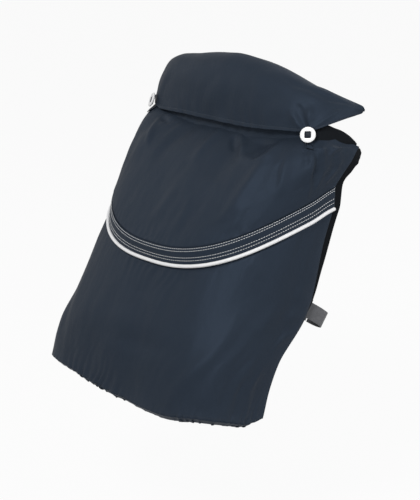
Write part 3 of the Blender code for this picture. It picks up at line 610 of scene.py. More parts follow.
    def open_flap(self, across: float, along: float, lift: float) -> Vector:
        """A point on the flap. Below 0 it rolls back over the bar, and from 0 to 1 it goes down to the edge."""
        if along >= 0.0:
            out = self.stand_off(along) + lift + self.flap_relief(across, along)
            rise = Vector((0.0, 0.0, self.flap_rise(across, along)))
            return self.flap_base(across, along) + self.flap_normal(across, along) * out + rise
        pinch = smooth_step((abs(across) - 0.75) / 0.25)
        angle = math.radians(self.roll_degrees) * between(1.0, 0.5, pinch) * -along
        upward = self.flap_normal(across, 0.0)
        backward = upward.cross(self.flap_ahead(across, 0.0)).normalized()
        radius = self.crest_radius(across)
        centre = self.flap_base(across, 0.0) - upward * radius
        outward = upward * math.cos(angle) + backward * math.sin(angle)
        out = radius + BAR.clearance + lift + self.flap_relief(across, 0.0)
        return centre + outward * out + Vector((0.0, 0.0, self.flap_rise(across, along)))

    def button_seat(self, side: Side) -> tuple[Vector, Matrix]:
        """Place and turn of a button at the flap's edge: +Z stands out of the cloth and +Y points up it."""
        across = side.value * self.button_across
        outward = self.flap_normal(across, 1.0)
        place = self.flap_base(across, 1.0) + outward * self.edge_stand_off
        higher = 0.94
        above = self.flap_base(across, higher) + self.flap_normal(across, higher) * self.stand_off(higher)
        upward = above - place
        upward = (upward - outward * upward.dot(outward)).normalized()
        return place, Matrix((upward.cross(outward), upward, outward)).transposed()


FORM = CoverForm()


# ------------------------------------------------------------------------------------------------ materials


class Wiring:
    """Places and joins the nodes of one tree."""

    def __init__(self, tree: bpy.types.NodeTree) -> None:
        """Keeps the tree that it works on."""
        self.tree = tree

    def place(self, kind: str, settings: dict[str, Any] | None = None, **inputs: Any) -> bpy.types.Node:
        """Adds a node.

        Args:
            kind: The node's type, without its ShaderNode prefix, or a node group's name with a leading @.
            settings: The node's own properties.
            **inputs: Values or sockets, by the socket's name with _ for a space, or as in0, in1 by number.

        Returns:
            The new node.
        """
        if kind.startswith("@"):
            node = self.tree.nodes.new("ShaderNodeGroup")
            node.node_tree = bpy.data.node_groups[kind[1:]]
        else:
            node = self.tree.nodes.new(f"ShaderNode{kind}")
        for key, value in (settings or {}).items():
            setattr(node, key, value)
        for key, value in inputs.items():
            numbered = key[:2] == "in" and key[2:].isdigit()
            self.feed(node.inputs[int(key[2:]) if numbered else key.replace("_", " ")], value)
        return node

    def feed(self, socket: bpy.types.NodeSocket, value: Any) -> None:
        """Links a socket to another, or sets its value."""
        if isinstance(value, bpy.types.NodeSocket):
            self.tree.links.new(value, socket)
        elif isinstance(value, tuple) and len(value) == 3 and socket.type == "RGBA":
            socket.default_value = (*value, 1.0)
        else:
            socket.default_value = value

    def math(self, operation: str, first: Any, second: Any = 0.0) -> bpy.types.NodeSocket:
        """The result of one Math node."""
        return self.place("Math", {"operation": operation}, in0=first, in1=second).outputs[0]

    def ribs(self, value: Any, count: float = 1.0) -> bpy.types.NodeSocket:
        """Rounded ribs along a value, so many of them for each step of 1."""
        return self.math("ABSOLUTE", self.math("SINE", self.math("MULTIPLY", value, math.pi * count)))

    def effect(self, name: str, vector: Any, size: float) -> bpy.types.NodeSocket:
        """The value of one of the shared node groups."""
        return self.place(f"@{name}", Vector=vector, Size=size).outputs[0]

    def mapped(self, value: Any, low: float, high: float) -> bpy.types.NodeSocket:
        """A value from 0 to 1, brought to the range from low to high."""
        return self.place("MapRange", Value=value, To_Min=low, To_Max=high).outputs[0]

    def noise(self, vector: Any, scale: float, detail: float = 3.0, distortion: float = 0.0) -> bpy.types.NodeSocket:
        """The value of a noise texture."""
        node = self.place("TexNoise", Vector=vector, Scale=scale, Detail=detail, Distortion=distortion)
        return node.outputs[0]


class Effects:
    """The node groups that several finishes share. Each gives a height or a value from 0 to 1."""

    def __init__(self) -> None:
        """Makes every group."""
        for build, size in (
            (self.plain_weave, 0.0005),
            (self.twill, 0.0012),
            (self.mottle, 0.05),
            (self.crumple, 0.012),
            (self.pile, 0.0007),
            (self.knit, 0.0014),
        ):
            self.make(build, size)

    @staticmethod
    def make(build: Callable[[Wiring, Any], Any], size: float) -> None:
        """Makes one group, under its builder's name, with a Vector and a Size going in and a Value coming out.

        Args:
            build: Wires the group from the scaled vector and returns the socket of its value.
            size: The default size, in metres.
        """
        tree = bpy.data.node_groups.new(build.__name__, "ShaderNodeTree")
        tree.interface.new_socket(name="Vector", in_out="INPUT", socket_type="NodeSocketVector")
        given = tree.interface.new_socket(name="Size", in_out="INPUT", socket_type="NodeSocketFloat")
        given.default_value = size
        tree.interface.new_socket(name="Value", in_out="OUTPUT", socket_type="NodeSocketFloat")
        start, end = tree.nodes.new("NodeGroupInput"), tree.nodes.new("NodeGroupOutput")
        wiring = Wiring(tree)
        scale = wiring.math("DIVIDE", 1.0, start.outputs["Size"])
        vector = wiring.place("VectorMath", {"operation": "SCALE"}, in0=start.outputs["Vector"], Scale=scale)
        tree.links.new(build(wiring, vector.outputs[0]), end.inputs["Value"])

    @staticmethod
    def plain_weave(wiring: Wiring, vector: Any) -> Any:
        """Pillows of warp and weft in a plain over-and-under weave, warp a little higher."""
        split = wiring.place("SeparateXYZ", Vector=vector)
        waves = [wiring.math("SINE", wiring.math("MULTIPLY", split.outputs[i], math.pi)) for i in range(2)]
        cross = wiring.math("MULTIPLY", *waves)
        pillow = wiring.math("POWER", wiring.math("ABSOLUTE", cross), 0.5)
        over = wiring.math("GREATER_THAN", cross, 0.0)
        return wiring.math("MULTIPLY", pillow, wiring.mapped(over, 0.82, 1.0))

    @staticmethod
    def twill(wiring: Wiring, vector: Any) -> Any:
        """Slanting ribs with a broken edge."""
        split = wiring.place("SeparateXYZ", Vector=vector)
        slant = wiring.math("ADD", split.outputs[0], split.outputs[1])
        grain = wiring.ribs(split.outputs[0], 2.0)
        return wiring.math("MULTIPLY", wiring.ribs(slant), wiring.mapped(grain, 0.7, 1.0))

    @staticmethod
    def mottle(wiring: Wiring, vector: Any) -> Any:
        """Soft uneven patches with a finer layer."""
        return wiring.noise(vector, 1.0, 4.0, 0.4)

    @staticmethod
    def crumple(wiring: Wiring, vector: Any) -> Any:
        """Fine creases, longer down the cloth than across it."""
        longer = wiring.place("VectorMath", {"operation": "MULTIPLY"}, in0=vector, in1=(1.0, 0.45, 1.0))
        first = wiring.noise(longer.outputs[0], 1.0, 2.0, 0.9)
        ridge = wiring.math("ABSOLUTE", wiring.math("SUBTRACT", first, 0.5))
        return wiring.math("SUBTRACT", 1.0, wiring.math("MULTIPLY", ridge, 2.0))

    @staticmethod
    def pile(wiring: Wiring, vector: Any) -> Any:
        """Tangled little loops."""
        cells = wiring.place("TexVoronoi", Vector=vector, Scale=1.0, Randomness=1.0)
        fluff = wiring.noise(vector, 1.7, 4.0, 1.5)
        loops = wiring.math("SUBTRACT", 1.0, cells.outputs["Distance"])
        return wiring.math("MULTIPLY", loops, wiring.mapped(fluff, 0.4, 1.2))

    @staticmethod
    def knit(wiring: Wiring, vector: Any) -> Any:
        """Ribs across a stretch tape."""
        split = wiring.place("SeparateXYZ", Vector=vector)
        return wiring.math("POWER", wiring.ribs(split.outputs[1]), 0.6)


@dataclass(frozen=True)
class Finish:
    """One woven, knitted, spun or moulded finish."""

    name: str
    colour: tuple[float, float, float]
    roughness: float
    pattern: str | None
    pattern_size: float = 0.0005
    pattern_depth: float = 0.00005
    crumple_depth: float = 0.0
    crumple_size: float = 0.010
    variation: float = 0.10
    patch: float = 0.04
    # How much darker the colour gets between threads and loops: painted shade in the pattern's grooves
    groove_shade: float = 0.12
    worn: float = 0.0
    sheen: float = 0.0
    specular: float = 0.5
    gleam: tuple[float, float, float] = (1.0, 1.0, 1.0)
    coat: float = 0.0
    metallic: float = 0.0
    on_object: bool = False

    def make(self) -> bpy.types.Material:
        """Makes the material.

        Returns:
            A Principled material with the pattern in its bump, painted shade in the pattern's grooves, and uneven
            colour and roughness.
        """
        material = bpy.data.materials.new(self.name)
        material.use_nodes = True
        wiring = Wiring(material.node_tree)
        shader = material.node_tree.nodes["Principled BSDF"]
        if self.on_object:
            vector = wiring.place("TexCoord").outputs["Object"]
        else:
            vector = wiring.place("UVMap", {"uv_map": "cloth"}).outputs[0]
        patches = wiring.effect("mottle", vector, self.patch)
        tint = wiring.mapped(patches, 1.0 - self.variation, 1.0 + self.variation)
        height: Any = wiring.math("MULTIPLY", patches, 0.0)
        if self.pattern is not None:
            threads = wiring.effect(self.pattern, vector, self.pattern_size)
            # The colour darkens where the pattern is low: painted shade in the grooves between threads and loops
            tint = wiring.math("MULTIPLY", tint, wiring.mapped(threads, 1.0 - self.groove_shade, 1.0 + self.groove_shade * 0.4))
            height = wiring.math("MULTIPLY", threads, self.pattern_depth)
        if self.crumple_depth:
            creases = wiring.effect("crumple", vector, self.crumple_size)
            height = wiring.math("ADD", height, wiring.math("MULTIPLY", creases, self.crumple_depth))
        colour: Any = wiring.place("VectorMath", {"operation": "SCALE"}, in0=self.colour, Scale=tint).outputs[0]
        if self.worn:
            wear = wiring.place("Attribute", {"attribute_name": "wear"}).outputs["Fac"]
            pale = tuple(min(1.0, part * 1.6 + 0.012) for part in self.colour)
            amount = wiring.math("MULTIPLY", wiring.math("MULTIPLY", wear, patches), self.worn * 2.0)
            mixed = wiring.place("Mix", {"data_type": "RGBA"}, in0=amount, in6=colour, in7=(*pale, 1.0))
            colour = mixed.outputs[2]
        wiring.feed(shader.inputs["Base Color"], colour)
        wiring.feed(shader.inputs["Roughness"], wiring.mapped(patches, self.roughness - 0.06, self.roughness + 0.06))
        bump = wiring.place("Bump", Strength=1.0, Distance=1.0, Height=height)
        wiring.feed(shader.inputs["Normal"], bump.outputs[0])
        for name, value in (
            ("Metallic", self.metallic),
            ("Specular IOR Level", self.specular),
            ("Specular Tint", self.gleam),
            ("Sheen Weight", self.sheen),
            ("Sheen Roughness", 0.5),
            ("Coat Weight", self.coat),
            ("Coat Roughness", 0.25),
        ):
            wiring.feed(shader.inputs[name], value)
        return material


class Finishes:
    """The cover's finishes, each made once."""

    shell = Finish(
        "navy_woven_polyester", (0.0210, 0.0290, 0.0420), 0.46, "plain_weave", 0.00055, 0.00004,
        crumple_depth=0.00030, crumple_size=0.014, variation=0.08, patch=0.05, worn=0.20, specular=0.16,
        gleam=(0.50, 0.68, 1.0),
    )
    lining = Finish(
        "dark_woven_lining", (0.0050, 0.0068, 0.0095), 0.72, "plain_weave", 0.0007, 0.00006,
        crumple_depth=0.00025, variation=0.14, specular=0.12,
    )
    facing = Finish(
        "dark_facing_tape", (0.0035, 0.0048, 0.0068), 0.72, "twill", 0.0009, 0.00008, variation=0.12,
        specular=0.10,
    )
    piping = Finish(
        "white_bias_piping", (0.86, 0.86, 0.87), 0.46, "twill", 0.0006, 0.00004, crumple_depth=0.00008,
        crumple_size=0.006, variation=0.03, patch=0.03, groove_shade=0.08, specular=0.45,
    )
    thread = Finish(
        "off_white_thread", (0.86, 0.87, 0.88), 0.50, "twill", 0.00035, 0.00004, variation=0.08, patch=0.004,
        groove_shade=0.25, specular=0.40,
    )
    tonal_thread = Finish(
        "navy_thread", (0.0125, 0.0180, 0.0270), 0.50, "twill", 0.00035, 0.00004, variation=0.10, patch=0.004,
        groove_shade=0.25, specular=0.45,
    )
    # Near-black thread: the sewn box is real, and its dark colour paints the shade along the tab's edges
    shade_painted_thread = Finish(
        "shade_painted_thread", (0.0030, 0.0040, 0.0060), 0.70, "twill", 0.00035, 0.00004, variation=0.10, patch=0.004,
        groove_shade=0.25, specular=0.10,
    )
    webbing = Finish(
        "grey_loop_tape", (0.125, 0.128, 0.138), 0.92, "pile", 0.0009, 0.00030, variation=0.16, patch=0.006,
        groove_shade=0.35, sheen=0.35, specular=0.15,
    )
    hook = Finish(
        "dark_hook_tape", (0.050, 0.050, 0.056), 0.70, "pile", 0.0013, 0.00040, variation=0.10, patch=0.008,
        groove_shade=0.45, specular=0.35,
    )
    elastic = Finish(
        "knitted_elastic", (0.62, 0.62, 0.62), 0.80, "knit", 0.0013, 0.00020, variation=0.08, groove_shade=0.30,
        specular=0.25,
    )
    ring = Finish(
        "white_moulded_plastic", (0.88, 0.88, 0.885), 0.30, None, variation=0.015, patch=0.006,
        crumple_depth=0.00002, crumple_size=0.003, specular=0.5, coat=0.15, on_object=True,
    )
    core = Finish(
        "navy_moulded_plastic", (0.0120, 0.0165, 0.0250), 0.50, None, variation=0.06, patch=0.003,
        crumple_depth=0.00003, crumple_size=0.002, specular=0.18, on_object=True,
    )
    steel = Finish(
        "pressed_steel", (0.56, 0.57, 0.59), 0.34, None, variation=0.05, patch=0.002, crumple_depth=0.00001,
        crumple_size=0.0015, metallic=1.0, on_object=True,
    )

    def __init__(self) -> None:
        """Makes the shared node groups and starts with no material made."""
        Effects()
        self.made: dict[str, bpy.types.Material] = {}

    def get(self, finish: Finish) -> bpy.types.Material:
        """The material of a finish, made when it is first asked for."""
        if finish.name not in self.made:
            self.made[finish.name] = finish.make()
        return self.made[finish.name]


# ------------------------------------------------------------------------------------------------ making pieces


def lay_grid(
    place: Place, flat: Flat, across: Sequence[float], along: Sequence[float], wear: Wear | None = None
) -> bmesh.types.BMesh:
    """Lays a grid of faces on a surface.

    Args:
        place: Gives the point at a pair of values.
        flat: Gives the pair's place on the flat cloth, in metres, for the UV map.
        across: The values across, one for each column of corners.
        along: The values along, one for each row, the top row first.
        wear: Gives the wear at a pair, from 0 to 1.

    Returns:
        The new mesh, with a UV map and a wear value at each corner.
    """
    made = bmesh.new()
    columns, rows = len(across) - 1, len(along) - 1
    bmesh.ops.create_grid(made, x_segments=columns, y_segments=rows, size=1.0)
    uv = made.loops.layers.uv.new("cloth")
    worn = made.verts.layers.float.new("wear")
    spots: dict[bmesh.types.BMVert, Pair] = {}
    for vertex in made.verts:
        column = round((vertex.co.x + 1.0) / 2.0 * columns)
        row = round((1.0 - vertex.co.y) / 2.0 * rows)
        spots[vertex] = (across[column], along[row])
    for face in made.faces:
        for loop in face.loops:
            loop[uv].uv = flat(*spots[loop.vert])
    for vertex, spot in spots.items():
        vertex.co = place(*spot)
        vertex[worn] = wear(*spot) if wear else 0.0
    return made


def sweep(
    frames: Sequence[Frame3], section: Sequence[Pair], scales: Sequence[float] | None = None
) -> bmesh.types.BMesh:
    """Carries a closed section along a path.

    Args:
        frames: The path's points, each with the section's two directions there.
        section: The section's points, as amounts of the two directions.
        scales: The section's size at each frame, where it isn't 1.

    Returns:
        A closed mesh with a cap at each end and a UV map in metres.
    """
    scales = scales or [1.0] * len(frames)
    around, passed = [0.0], [0.0]
    ring = [*section, section[0]]
    for (a, b), (c, d) in zip(ring, ring[1:]):
        around.append(around[-1] + math.hypot(c - a, d - b))
    for (here, *_), (ahead, *_) in zip(frames, frames[1:]):
        passed.append(passed[-1] + (ahead - here).length)

    def place(column: float, row: float) -> Vector:
        """A corner of the section at one frame."""
        spot, first, second = frames[int(row)]
        a, b = section[int(column) % len(section)]
        return spot + (first * a + second * b) * scales[int(row)]

    def flat(column: float, row: float) -> Pair:
        """A corner's place round the section and along the path."""
        return around[int(column)], passed[int(row)]

    made = lay_grid(place, flat, list(range(len(section) + 1)), list(range(len(frames))))
    bmesh.ops.remove_doubles(made, verts=made.verts, dist=1e-6)
    bmesh.ops.holes_fill(made, edges=[edge for edge in made.edges if edge.is_boundary], sides=0)
    bmesh.ops.recalc_face_normals(made, faces=made.faces)
    return made


def rounded_section(width: float, thickness: float, corner: float, steps: int = 3) -> list[Pair]:
    """A rounded rectangle round the origin, its thickness first and its width second."""
    points: list[Pair] = []
    half_t, half_w = thickness / 2.0 - corner, width / 2.0 - corner
    for index, (t, w) in enumerate(((1, 1), (-1, 1), (-1, -1), (1, -1))):
        for step in range(steps + 1):
            angle = math.pi / 2.0 * (index + step / steps)
            points.append((t * half_t + corner * math.cos(angle), w * half_w + corner * math.sin(angle)))
    return points


def round_section(radius: float, steps: int) -> list[Pair]:
    """A circle round the origin."""
    return [(radius * math.cos(math.tau * i / steps), radius * math.sin(math.tau * i / steps)) for i in range(steps)]


def soften(points: Sequence[Vector], rounds: int = 2) -> list[Vector]:
    """Cuts the corners of a path, and keeps its two ends."""
    path = list(points)
    for _ in range(rounds):
        cut = [path[0]]
        for here, ahead in zip(path, path[1:]):
            cut += [here.lerp(ahead, 0.25), here.lerp(ahead, 0.75)]
        path = [*cut, path[-1]]
    return path


@dataclass(frozen=True)
class Workshop:
    """Turns meshes into finished pieces that ride their bodies and replace the imported nodes."""

    finishes: Finishes

    def piece(
        self,
        name: str,
        made: bmesh.types.BMesh,
        finish: Finish,
        slot: Slot,
        body: Body | None,
        replaces: Iterable[str] = (),
        thickness: float = 0.0,
        sharp: float = 40.0,
    ) -> bpy.types.Object:
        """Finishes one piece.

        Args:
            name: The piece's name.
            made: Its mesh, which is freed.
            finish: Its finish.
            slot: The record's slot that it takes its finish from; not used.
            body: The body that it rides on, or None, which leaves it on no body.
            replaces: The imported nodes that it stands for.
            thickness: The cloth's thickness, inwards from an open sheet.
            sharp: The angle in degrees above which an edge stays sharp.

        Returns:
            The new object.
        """
        area = sum(face.calc_area() for face in made.faces)
        mesh = bpy.data.meshes.new(name)
        made.to_mesh(mesh)
        made.free()
        mesh.shade_smooth()
        mesh.set_sharp_from_angle(angle=math.radians(sharp))
        mesh.materials.append(self.finishes.get(finish))
        made_object = bpy.data.objects.new(name, mesh)
        bpy.context.scene.collection.objects.link(made_object)
        if thickness:
            wall = made_object.modifiers.new("thickness", "SOLIDIFY")
            wall.thickness = thickness
            wall.offset = -1.0
        if body is not None:
            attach(made_object, body.value)
        nodes = tuple(replaces)
        if nodes:
            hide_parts(*nodes)
        LOG.info("%s: %d faces, %.4f square metres", name, len(mesh.polygons), area)
        return made_object

    def navy(
        self, node: str, made: bmesh.types.BMesh, thickness: float = 0.0, body: Body | None = Body.COVER
    ) -> bpy.types.Object:
        """Finishes one piece of the navy cloth, which stands for a node and is named after it."""
        return self.piece(f"{node}_cloth", made, Finishes.shell, Slot.NAVY, body, [node], thickness)

    def tonal_row(self, name: str, path: Sequence[Seat], body: Body | None = Body.COVER) -> bpy.types.Object:
        """Makes one row of stitches in the cloth's own colour."""
        thread = new_thread()
        TONAL_STITCHES.row(thread, path)
        return self.piece(name, thread, Finishes.tonal_thread, Slot.NAVY, body)

    def dress(self, node: bpy.types.Object, finish: Finish) -> None:
        """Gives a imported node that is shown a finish."""
        for place in node.material_slots:
            place.material = self.finishes.get(finish)
        LOG.info("%s: dressed as %s", node.name, finish.name)


@dataclass(frozen=True)
class Stitching:
    """Rows of separate thread stitches."""

    length: float = 0.0034
    width: float = 0.0010
    height: float = 0.0010
    pitch: float = 0.0041

    def row(self, made: bmesh.types.BMesh, path: Sequence[Seat]) -> None:
        """Adds one row.

        Args:
            made: The mesh that the stitches go to.
            path: Points close together along the row, each with the cloth's outward direction there.
        """
        lengths = [0.0]
        for (here, _), (ahead, _) in zip(path, path[1:]):
            lengths.append(lengths[-1] + (ahead - here).length)
        count = max(1, round(lengths[-1] / self.pitch))
        index = 0
        for number in range(count):
            target = (number + 0.5) * lengths[-1] / count
            while index < len(path) - 2 and lengths[index + 1] < target:
                index += 1
            share = (target - lengths[index]) / max(1e-9, lengths[index + 1] - lengths[index])
            spot = path[index][0].lerp(path[index + 1][0], share)
            along = (path[index + 1][0] - path[index][0]).normalized()
            outward = path[index][1]
            outward = (outward - along * outward.dot(along)).normalized()
            self.one(made, spot, along, outward)

    def one(self, made: bmesh.types.BMesh, spot: Vector, along: Vector, outward: Vector) -> None:
        """Adds one stitch, a small spindle half sunk in the cloth."""
        turn = Matrix((along.cross(outward), outward, along)).transposed().to_4x4()
        size = Matrix.Diagonal((self.width / 2.0, self.height / 2.0, self.length / 2.0, 1.0))
        matrix = Matrix.Translation(spot) @ turn @ size
        bmesh.ops.create_uvsphere(made, u_segments=6, v_segments=4, radius=1.0, matrix=matrix, calc_uvs=False)

    def box(self, made: bmesh.types.BMesh, spot: Callable[[float, float], Seat], crossed: bool) -> None:
        """Adds a sewn box, with its corners at -1 and 1 of spot's two values, and a cross in it if asked."""
        corners = [(-1.0, -1.0), (1.0, -1.0), (1.0, 1.0), (-1.0, 1.0), (-1.0, -1.0)]
        lines = list(zip(corners, corners[1:]))
        if crossed:
            lines += [((-1.0, -1.0), (1.0, 1.0)), ((1.0, -1.0), (-1.0, 1.0))]
        for (a, b), (c, d) in lines:
            self.row(made, [spot(between(a, c, i / 12), between(b, d, i / 12)) for i in range(13)])


TONAL_STITCHES = Stitching(length=0.0026, width=0.0006, height=0.0004, pitch=0.0034)


def new_thread() -> bmesh.types.BMesh:
    """An empty mesh for stitches, with the UV map that the thread's material reads."""
    made = bmesh.new()
    made.loops.layers.uv.new("cloth")
    return made


# ------------------------------------------------------------------------------------------------ sub-assemblies


@dataclass
class Shell:
    """The outer panels, the stitched trim band with its piping, and the lining behind them all."""

    columns: int = 230
    upper_rows: int = 86
    lower_rows: int = 80
    band_rows: int = 10
    rows_of_stitches: tuple[float, ...] = (0.2262, 0.2304, 0.2398, 0.2440)
    seam_dip: float = 0.0016
    seam_tuck: float = 0.0030
    edge_roll: float = 0.0006
    stitch_dent: float = 0.0009

    def flat(self, across: float, down: float) -> Pair:
        """A place on the flat cloth, in metres."""
        return across * FORM.half_turn, -down

    def panel(self, across: float, down: float) -> Vector:
        """A point on a panel, which dips into the seams at the band and stands out a little at the side edges."""
        dip = 0.0
        if down > BAND_TOP - 0.012:
            off = (BAND_TOP - LAYERS.seam_gap - down) if down < BAND_FOOT - 0.006 else down - PIPING_FOOT
            dip = self.seam_dip * (1.0 if off < 0.0 else math.exp(-off / 0.0016))
        roll = self.edge_roll * math.exp(-(1.0 - abs(across)) * FORM.half_turn / 0.004)
        if down < 0.0:
            return FORM.above(across, down * (1.0 - smooth_step((abs(across) - 0.56) / 0.08)))
        return FORM.shell(FORM.side(across, down), down, -dip + roll)

    def wear(self, across: float, down: float) -> float:
        """More wear along the side edges and the seams."""
        edge = math.exp(-(1.0 - abs(across)) * FORM.half_turn / 0.006)
        foot = math.exp(-abs(down - HEM_DOWN) / 0.010)
        return max(edge, foot)

    def build(self, shop: Workshop) -> None:
        """Makes every piece of the shell."""
        sides = spread(-1.0, 1.0, self.columns)
        upper = [-0.018, -0.014, -0.010, -0.006, -0.003] + spread(0.0, BAND_TOP - 0.004, self.upper_rows)
        upper += [BAND_TOP - step for step in (0.0028, 0.0018, 0.0010, 0.0004)] + [BAND_TOP + self.seam_tuck]
        lower = [PIPING_FOOT - self.seam_tuck, PIPING_FOOT] + [PIPING_FOOT + s for s in (0.0008, 0.0018, 0.0030)]
        lower += spread(PIPING_FOOT + 0.0045, HEM_DOWN, self.lower_rows)
        for name, rows, flat_size, area in (
            ("upper_panel", upper, (0.69, 0.262), 0.112),
            ("lower_panel", lower, (0.72, 0.230), 0.160),
        ):
            made = lay_grid(self.panel, self.flat, sides, rows, self.wear)
            cloth = shop.navy(name, made, LAYERS.cloth)
        self.build_band(shop)
        self.build_piping(shop)
        self.build_lining(shop)

    def build_band(self, shop: Workshop) -> None:
        """Makes the band, with rolled long edges, and its two double rows of stitches."""
        half = (BAND_FOOT - LAYERS.seam_gap - BAND_TOP) / 2.0
        middle = BAND_TOP + half
        proud = LAYERS.band - LAYERS.shell

        def lift(down: float) -> float:
            """The band's height, rounded off at its folded edges."""
            off = max(0.0, (half - abs(down - middle)) / 0.0016)
            return proud if off >= 1.0 else proud - 0.0012 * (1.0 - math.sqrt(1.0 - (1.0 - off) ** 2))

        rows = [BAND_TOP + off for off in (0.0, 0.0002, 0.0006, 0.0011)]
        rows += spread(BAND_TOP + 0.0018, BAND_FOOT - LAYERS.seam_gap - 0.0018, self.band_rows)
        rows += [BAND_FOOT - LAYERS.seam_gap - off for off in (0.0011, 0.0006, 0.0002, 0.0)]
        dents = self.rows_of_stitches

        def place(across: float, down: float) -> Vector:
            """A point on the band, pressed in a little along each row of stitches."""
            pressed = sum(0.00025 * bell(down - row, self.stitch_dent) for row in dents)
            return FORM.shell(across, down, lift(down) - pressed)

        dent = self.stitch_dent
        fine = sorted({*rows, *(row + off for row in dents for off in (-dent, 0.0, dent))})
        made = lay_grid(place, self.flat, spread(-1.0, 1.0, self.columns), fine, self.wear)
        band = shop.navy("trim_band", made, 0.0012)
        thread = new_thread()
        for row in dents:
            sunk = lift(row) - 0.0001
            Stitching().row(thread, [FORM.seat(across, row, sunk) for across in spread(-0.997, 0.997, 300)])
        stitches = shop.piece("trim_band_stitches", thread, Finishes.thread, Slot.PIPING, Body.COVER)

    def build_piping(self, shop: Workshop) -> None:
        """Makes the white piping under the band, with rounded ends."""
        radius = LAYERS.piping / 2.0
        lift = radius - LAYERS.shell
        frames: list[Frame3] = []
        for across in spread(-0.996, 0.996, 260):
            down = (BAND_FOOT + PIPING_FOOT) / 2.0 - 0.0010 - 0.0012 * smooth_step((across - 0.3) / 0.7)
            outward = FORM.shell_normal(across, down)
            downward = FORM.shell_ahead(across, down).cross(outward).normalized()
            frames.append((FORM.shell(across, down, lift), outward, downward))
        scales = [1.0] * len(frames)
        for _ in range(2):  # the first round gives the right end its dome, the second one the left end
            frames.reverse()
            scales.reverse()
            tip, first, second = frames[-1]
            inward = (frames[-2][0] - tip).normalized()
            for angle in (0.5, 0.95, 1.3, 1.5):
                frames.append((tip - inward * radius * 0.6 * math.sin(angle), first, second))
                scales.append(math.cos(angle))
        made = sweep(frames, round_section(radius, 16), scales)
        shop.piece("white_piping_roll", made, Finishes.piping, Slot.PIPING, Body.COVER, ["piping"], sharp=80.0)

    def build_lining(self, shop: Workshop) -> None:
        """Makes the lining, which follows the shell a little inside it."""
        behind = -LAYERS.shell - LAYERS.lining_gap

        def place(across: float, down: float) -> Vector:
            """A point on the lining, with a looser fall than the shell."""
            loose = 0.0008 * noise.noise(Vector((across * 9.0, down * 14.0, 3.0)))
            rise = MILLIMETRE * smooth_curve(*CORNER_LINING, abs(across)) * smooth_step((0.026 - down) / 0.020)
            spot = FORM.shell(FORM.side(across, down), down, behind - abs(loose))
            level = FORM.fall(across, down) * smooth_step((0.030 - down) / 0.024)
            return spot + Vector((0.0, 0.0, rise + level))

        rows = spread(0.006, BAND_TOP, 64) + spread(BAND_TOP + 0.006, PIPING_FOOT, 4)
        rows += spread(PIPING_FOOT + 0.004, HEM_DOWN, 60)
        made = lay_grid(place, self.flat, spread(-0.998, 0.998, 170), rows)
        lining = shop.piece(
            "lining_cloth", made, Finishes.lining, Slot.LINING, Body.COVER, ["lining"], thickness=LAYERS.cloth
        )


@dataclass
class Hem:
    """The folded casing along the lower edge, its elastic and its tonal stitches."""

    depth: float = 0.0150
    tuck_degrees: float = 58.0
    elastic_width: float = 0.0080
    elastic_thickness: float = 0.0014
    columns: int = 230

    def frame(self, across: float) -> Frame3:
        """The casing's place on the lower edge, with its outward and downward directions, tucked inwards."""
        outward = FORM.shell_normal(across, HEM_DOWN)
        ahead = FORM.shell_ahead(across, HEM_DOWN)
        downward = ahead.cross(outward).normalized()
        turn = Matrix.Rotation(math.radians(self.tuck_degrees), 3, ahead.normalized())
        return FORM.shell(across, HEM_DOWN), turn @ outward, turn @ downward

    def build(self, shop: Workshop) -> None:
        """Makes the casing, the elastic and the stitches."""
        wall, room = LAYERS.cloth, self.elastic_thickness + 3.0 * LAYERS.gap
        inner = -2.0 * wall - room
        bend = -inner / 2.0
        section = [(0.0, -0.0004), (0.0, 0.0012), (0.0, 0.003)]
        section += [(0.0, low) for low in spread(0.005, self.depth - bend, 5)]
        section += [
            (-bend + bend * math.cos(angle), self.depth - bend + bend * math.sin(angle))
            for angle in spread(0.35, math.pi - 0.35, 6)
        ]
        section += [(inner, low) for low in spread(self.depth - bend, 0.0045, 5)]
        frames: dict[float, Frame3] = {}

        def place(across: float, index: float) -> Vector:
            """A point on the casing, drawn up into small gathers by the elastic."""
            if across not in frames:
                frames[across] = self.frame(across)
            spot, outward, downward = frames[across]
            out, low = section[int(index)]
            share = smooth_step(low / 0.008)
            ripple = noise.noise(Vector((across * 26.0, 0.0, 5.0))) + 0.2 * noise.noise(Vector((across * 50.0, 0, 9)))
            return spot + outward * (out + 0.0009 * share * ripple) + downward * (low + 0.0004 * share * ripple)

        def flat(across: float, index: float) -> Pair:
            """A place on the flat strip, in metres."""
            return across * 0.30, -HEM_DOWN - 0.0022 * index

        sides = spread(-1.0, 1.0, self.columns)
        made = lay_grid(place, flat, sides, list(range(len(section))), lambda a, i: 1.0 if 7 < i < 16 else 0.3)
        casing = shop.navy("hem_casing", made, wall)
        inwards = -wall - room / 2.0
        low = self.depth - wall - 0.0008 - self.elastic_width / 2.0
        tape: list[Frame3] = []
        for across in spread(-0.995, 0.995, 160):
            spot, outward, downward = self.frame(across)
            tape.append((spot + outward * inwards + downward * low, outward, downward))
        made = sweep(tape, rounded_section(self.elastic_width, self.elastic_thickness, 0.0004))
        shop.piece("hem_elastic_tape", made, Finishes.elastic, Slot.ELASTIC, Body.COVER, ["hem_elastic"])
        row = [FORM.seat(across, HEM_DOWN - 0.0035) for across in spread(-0.995, 0.995, 320)]
        shop.tonal_row("hem_stitches", row)


